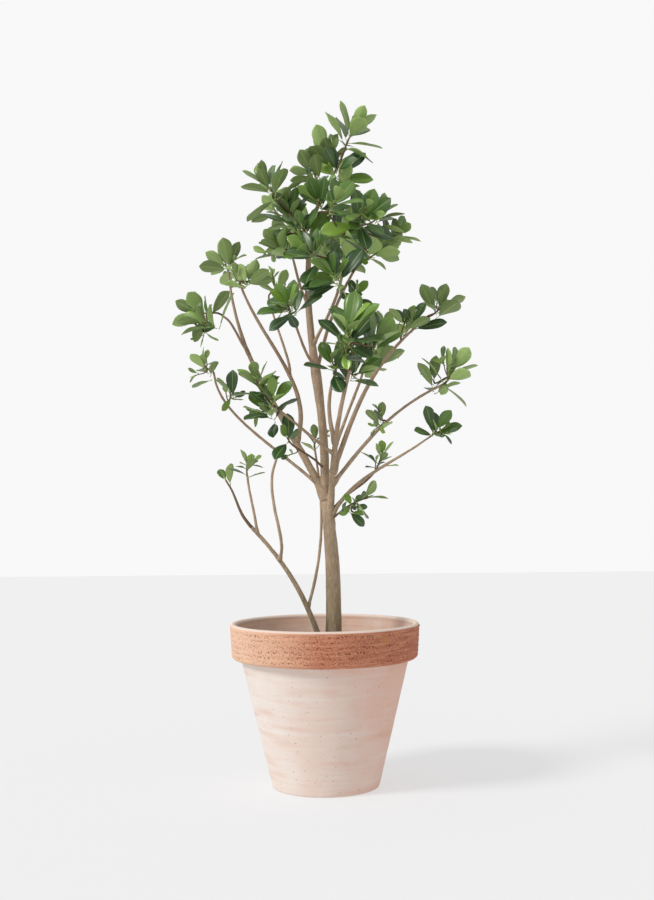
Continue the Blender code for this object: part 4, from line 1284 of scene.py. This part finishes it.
def leaf_pattern():
    """One flat leaf as arrays: place along and across of each point, whether it is on the underside, the
    faces and the strip each belongs to. The shell comes from a grid that is given a thickness."""
    work = bmesh.new()
    bmesh.ops.create_grid(work, x_segments=len(OUTLINE) - 1, y_segments=len(COLUMNS) - 1, size=0.5)
    bmesh.ops.solidify(work, geom=work.faces[:], thickness=0.01)
    bmesh.ops.recalc_face_normals(work, faces=work.faces)
    work.verts.ensure_lookup_table()
    rows = np.array([round((v.co.x + 0.5) * (len(OUTLINE) - 1)) for v in work.verts])
    columns = np.array([round((v.co.y + 0.5) * (len(COLUMNS) - 1)) for v in work.verts])
    top = max(v.co.z for v in work.verts)
    under = np.array([v.co.z < top - 0.005 for v in work.verts])
    faces = np.array([[v.index for v in f.verts] for f in work.faces])
    work.free()
    reach = np.sort(columns[faces], axis=1)
    middle = (reach[:, 0] == 2) & (reach[:, -1] == 3)
    below = under[faces].all(axis=1)
    return rows, columns, under, faces, middle, below


class LeafBatch:
    """Collects bent copies of the leaf pattern, then makes one mesh of them."""

    def __init__(self, settings):
        self.rows, self.columns, self.under, self.faces, self.middle, self.below = leaf_pattern()
        self.settings = settings
        self.points, self.all_faces, self.tints = [], [], []
        self.count = 0

    def add(self, leaf, youth, rng):
        s = self.settings
        outline = np.array(OUTLINE)
        along, share = outline[self.rows, 0], outline[self.rows, 1]
        across = np.array(COLUMNS)[self.columns]
        half = s.width * rng.uniform(*WIDTH_RANGE) * leaf.length
        fold = s.fold * rng.uniform(*FOLD_RANGE)
        droop = s.droop * rng.uniform(*DROOP_RANGE)
        twist = rng.uniform(-TWIST, TWIST)
        wave = rng.uniform(0.0, WAVE) * leaf.length
        phase = rng.uniform(0, 6.28)
        sweep_side = rng.uniform(-SWEEP, SWEEP) * leaf.length
        place = BLADE_FOOT + (1 - BLADE_FOOT) * along
        side = across * share * half
        forward = place * leaf.length + SHOULDER * half * np.abs(across) * np.sin(np.pi * along)
        side = side + sweep_side * along * along
        up = fold * np.abs(side) * (1 - 0.35 * np.abs(across)) - droop * leaf.length * place * place
        up = up + twist * side * along
        up = up + wave * np.abs(across) * np.sin(along * 9 + phase + across)
        ripple = RIPPLE * leaf.length * np.where(self.rows % 2 == 0, 1.0, -1.0)
        up = up + ripple * (np.abs(across) > 0.3) * (np.abs(across) < 0.8) * np.sin(np.pi * along)
        groove = (np.abs(across) < 0.1) * GROOVE * leaf.length
        thick = EDGE_THICKNESS + RIB_THICKNESS * (1 - np.abs(across))
        up = up - groove - np.where(self.under, thick + groove * 0.5, 0.0)
        x, y, z = (np.array(v) for v in (leaf.direction, leaf_side(leaf), leaf.face))
        spots = np.array(leaf.base) + forward[:, None] * x + side[:, None] * y + up[:, None] * z
        self.points.append(spots)
        self.all_faces.append(self.faces + self.count)
        self.count += len(spots)
        shade = youth * (TOP_TINTS - 2) + rng.uniform(*TINT_SWAY)
        top = int(min(TOP_TINTS - 1, max(0, round(shade))))
        below = TOP_TINTS + rng.randrange(UNDER_TINTS)
        rib = TOP_TINTS + UNDER_TINTS
        tints = np.where(self.below, below, top)
        self.tints.append(np.where(self.middle, np.where(self.below, rib, rib + 1), tints))

    def mesh(self, name):
        mesh = bpy.data.meshes.new(name)
        mesh.from_pydata(np.concatenate(self.points).tolist(), [], np.concatenate(self.all_faces).tolist())
        mesh.polygons.foreach_set("material_index", np.concatenate(self.tints).astype(np.int32))
        mesh.shade_smooth()
        return mesh


def leaf_materials(leaves):
    """Tints from the oldest leaf's top to the youngest's, then undersides and midribs."""
    made = []
    old, young = Vector(leaves.old_colour), Vector(leaves.young_colour)
    for number in range(TOP_TINTS):
        share = (number / (TOP_TINTS - 1)) ** 1.2
        made.append(plain(f"leaf top {number + 1}", old.lerp(young, share), 0.38, 0.35))
    for number in range(UNDER_TINTS):
        tint = Vector(leaves.under_colour) * (0.86 + 0.12 * number)
        made.append(plain(f"leaf underside {number + 1}", tint, 0.55))
    made.append(plain("midrib underside", leaves.rib_colour, 0.5))
    made.append(plain("midrib top", Vector(leaves.rib_colour) * 0.8, 0.45))
    return made


def fine_growth(mass, twigs, rng, crowding, tries):
    """Side shoots with a few small leaves on a mass's twigs, where there is room."""
    shoots, leaves = [], []
    small = mass._replace(leaf=mass.leaf * FINE_LEAF, leaves=FINE_LEAVES)
    for _ in range(tries):
        twig = rng.choice(twigs)
        knot = rng.randrange(2, len(twig.points) - 1)
        root = twig.points[knot]
        along = (twig.points[knot] - twig.points[knot - 1]).normalized()
        out = along.cross(heading(rng.uniform(0, 360), rng.uniform(-40, 40))).normalized()
        axis = (out + along * 0.6 + Vector((0, 0, 0.3))).normalized()
        tip = root + axis * mass.leaf * rng.uniform(*FINE_LENGTH)
        if not within(mass, [tip]):
            continue
        points = bezier(root, out, tip, axis, len(FINE_RADII))
        if crowding.meets(mass.name, twig_solid(Twig(points[2:], FINE_RADII[2:]), CLEARANCE)):
            continue
        before = len(leaves)
        shoot_leaves(small, tip, axis, rng, crowding, leaves)
        if len(leaves) > before:
            shoots.append(Twig(points, FINE_RADII))
    return shoots, leaves


def bud(tip, axis, size):
    """The pointed sheath at the end of a shoot."""
    points = [tip - axis * 0.001, tip + axis * size * 0.25, tip + axis * size * 0.6, tip + axis * size]
    return points, BUD_RADII


class BANYAN_OT_leaves(bpy.types.Operator):
    """Adds the twigs, leaf stalks, buds and leaves of every foliage mass"""

    bl_idname = "banyan.leaves"
    bl_label = "Twigs and leaves"
    bl_options = {"REGISTER", "UNDO"}

    def execute(self, context):
        settings = context.scene.banyan_leaves
        paths = all_paths()
        trees = {}
        for name in paths:
            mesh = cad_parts[name].data
            trees[name] = BVHTree.FromPolygons([v.co for v in mesh.vertices],
                                               [tuple(f.vertices) for f in mesh.polygons])
        crowding = Crowding(trees)
        grown = {mass.name: grow(mass, paths, crowding) for mass in MASSES}
        surfaces = leaf_materials(settings)
        stalk_surface = plain("leaf stalks", settings.rib_colour, 0.5)
        twig_surface = plain("twig bark", context.scene.banyan_wood.twig_colour, 0.75)
        by_name = {mass.name: mass for mass in MASSES}
        for region, names in REGIONS.items():
            batch = LeafBatch(settings)
            woody, green = [], []
            nodes = ["foliage_" + name for name in names]
            for name in names:
                mass = by_name[name]
                rng = random.Random(mass.seed + 1000)
                twigs, leaves = grown[name]
                fine, small = fine_growth(mass, twigs, rng, crowding, settings.fine_shoots)
                woody += [resampled(twig, TWIG_STEP) for twig in twigs]
                woody += [(twig.points, twig.radii) for twig in fine]
                for twig in twigs + fine:
                    axis = (twig.points[-1] - twig.points[-2]).normalized()
                    green.append(bud(twig.points[-1], axis, mass.leaf * BUD_SHARE))
                for number, leaf in enumerate(leaves + small):
                    youth = (number % mass.leaves) / max(1, mass.leaves - 1)
                    batch.add(leaf, youth, rng)
                    foot = leaf_spot(leaf, BLADE_FOOT + 0.02, 0, 0.0004)
                    middle = leaf_spot(leaf, BLADE_FOOT * 0.5, 0, 0.0008)
                    green.append(([leaf.base, middle, foot], STALK_RADII))
            made = object_of("leaves_" + region, batch.mesh("leaves"), surfaces)
            adopt(made, "foliage", *nodes)
            made = object_of("twigs_" + region, swept(woody, 1), [twig_surface])
            made.data.shade_smooth()
            adopt(made, "bark", *nodes)
            made = object_of("stalks_" + region, swept(green, 0), [stalk_surface])
            made.data.shade_smooth()
            adopt(made, "foliage", *nodes)
        return {"FINISHED"}


# Camera: the place, tilts and lens that the pot's rim and foot in the photo give
CAMERA_PLACE = (0.0066, -2.0, 0.471)
CAMERA_PITCH = 92.66
CAMERA_ROLL = -0.51
CAMERA_LENS = 46.96
KEY_FROM = (-152, 38)  # heading and rise of the soft light
KEY_WIDTH = 16
FLOOR_SIZE = 6.0


class BANYAN_OT_stage(bpy.types.Operator):
    """Adds the pale floor, the soft light and the camera"""

    bl_idname = "banyan.stage"
    bl_label = "Stage"
    bl_options = {"REGISTER", "UNDO"}

    def execute(self, context):
        stage = context.scene.banyan_stage
        scene = context.scene
        work = bmesh.new()
        bmesh.ops.create_grid(work, x_segments=1, y_segments=1, size=FLOOR_SIZE)
        pale = plain("pale floor", stage.floor_colour, 0.9)
        shader = pale.node_tree.nodes["Principled BSDF"]
        shader.inputs["Emission Color"].default_value = (1.0, 1.0, 1.0, 1.0)
        shader.inputs["Emission Strength"].default_value = stage.glow
        shader.inputs["Specular IOR Level"].default_value = 0.0
        floor = object_of("floor", work, [pale])
        floor.location.z = -GAP
        world = bpy.data.worlds.new("soft room")
        world.use_nodes = True
        n = Nodes(world.node_tree)
        back = world.node_tree.nodes["Background"]
        back.inputs["Color"].default_value = (1.0, 1.0, 1.0, 1.0)
        seen = n.place("ShaderNodeLightPath").outputs["Is Camera Ray"]
        n.feed(back.inputs["Strength"], n.range(seen, 0.0, 1.0, stage.fill, stage.backdrop))
        scene.world = world
        key = bpy.data.lights.new("key", "SUN")
        key.energy = stage.key
        key.angle = math.radians(KEY_WIDTH)
        lamp = bpy.data.objects.new("key", key)
        lamp.rotation_euler = (-heading(*KEY_FROM)).to_track_quat("-Z", "Y").to_euler()
        scene.collection.objects.link(lamp)
        data = bpy.data.cameras.new("camera")
        data.lens = CAMERA_LENS
        data.sensor_width = 36.0
        camera = bpy.data.objects.new("camera", data)
        turn = Matrix.Rotation(math.radians(CAMERA_PITCH), 4, "X")
        turn = turn @ Matrix.Rotation(math.radians(CAMERA_ROLL), 4, "Z")
        camera.matrix_world = Matrix.Translation(CAMERA_PLACE) @ turn
        scene.collection.objects.link(camera)
        scene.camera = camera
        scene.view_settings.view_transform = "Standard"
        return {"FINISHED"}


class BANYAN_PT_panel(bpy.types.Panel):
    """Lists the settings and the steps of the potted banyan"""

    bl_idname = "BANYAN_PT_panel"
    bl_label = "Potted Chinese Banyan"
    bl_space_type = "VIEW_3D"
    bl_region_type = "UI"
    bl_category = "Banyan"

    def draw(self, context):
        for title, group, steps in STEPS:
            box = self.layout.box()
            box.label(text=title)
            settings = getattr(context.scene, group)
            for key in settings.bl_rna.properties.keys():
                if key not in ("rna_type", "name"):
                    box.prop(settings, key)
            for step in steps:
                box.operator(step)


# Panel boxes: the title, the settings and the steps of each
STEPS = (
    ("Stage", "banyan_stage", ("banyan.stage",)),
    ("Pot", "banyan_pot", ("banyan.pot", "banyan.soil")),
    ("Wood", "banyan_wood", ("banyan.wood",)),
    ("Leaves", "banyan_leaves", ("banyan.leaves",)),
)
GROUPS = {
    "banyan_pot": BANYAN_PG_pot,
    "banyan_wood": BANYAN_PG_wood,
    "banyan_leaves": BANYAN_PG_leaves,
    "banyan_stage": BANYAN_PG_stage,
}
CLASSES = (
    *GROUPS.values(), BANYAN_OT_pot, BANYAN_OT_soil, BANYAN_OT_wood, BANYAN_OT_leaves, BANYAN_OT_stage,
    BANYAN_PT_panel,
)


def register():
    for cls in CLASSES:
        bpy.utils.register_class(cls)
    for name, group in GROUPS.items():
        setattr(bpy.types.Scene, name, PointerProperty(type=group))


def unregister():
    for name in GROUPS:
        delattr(bpy.types.Scene, name)
    for cls in reversed(CLASSES):
        bpy.utils.unregister_class(cls)


def main():
    for name in ("Cube", "Light", "Camera"):
        if name in bpy.data.objects:
            bpy.data.objects.remove(bpy.data.objects[name], do_unlink=True)
    register()
    bpy.ops.banyan.stage()
    bpy.ops.banyan.pot()
    bpy.ops.banyan.soil()
    bpy.ops.banyan.wood()
    bpy.ops.banyan.leaves()
    bpy.context.view_layer.update()


if __name__ == "__main__":
    main()
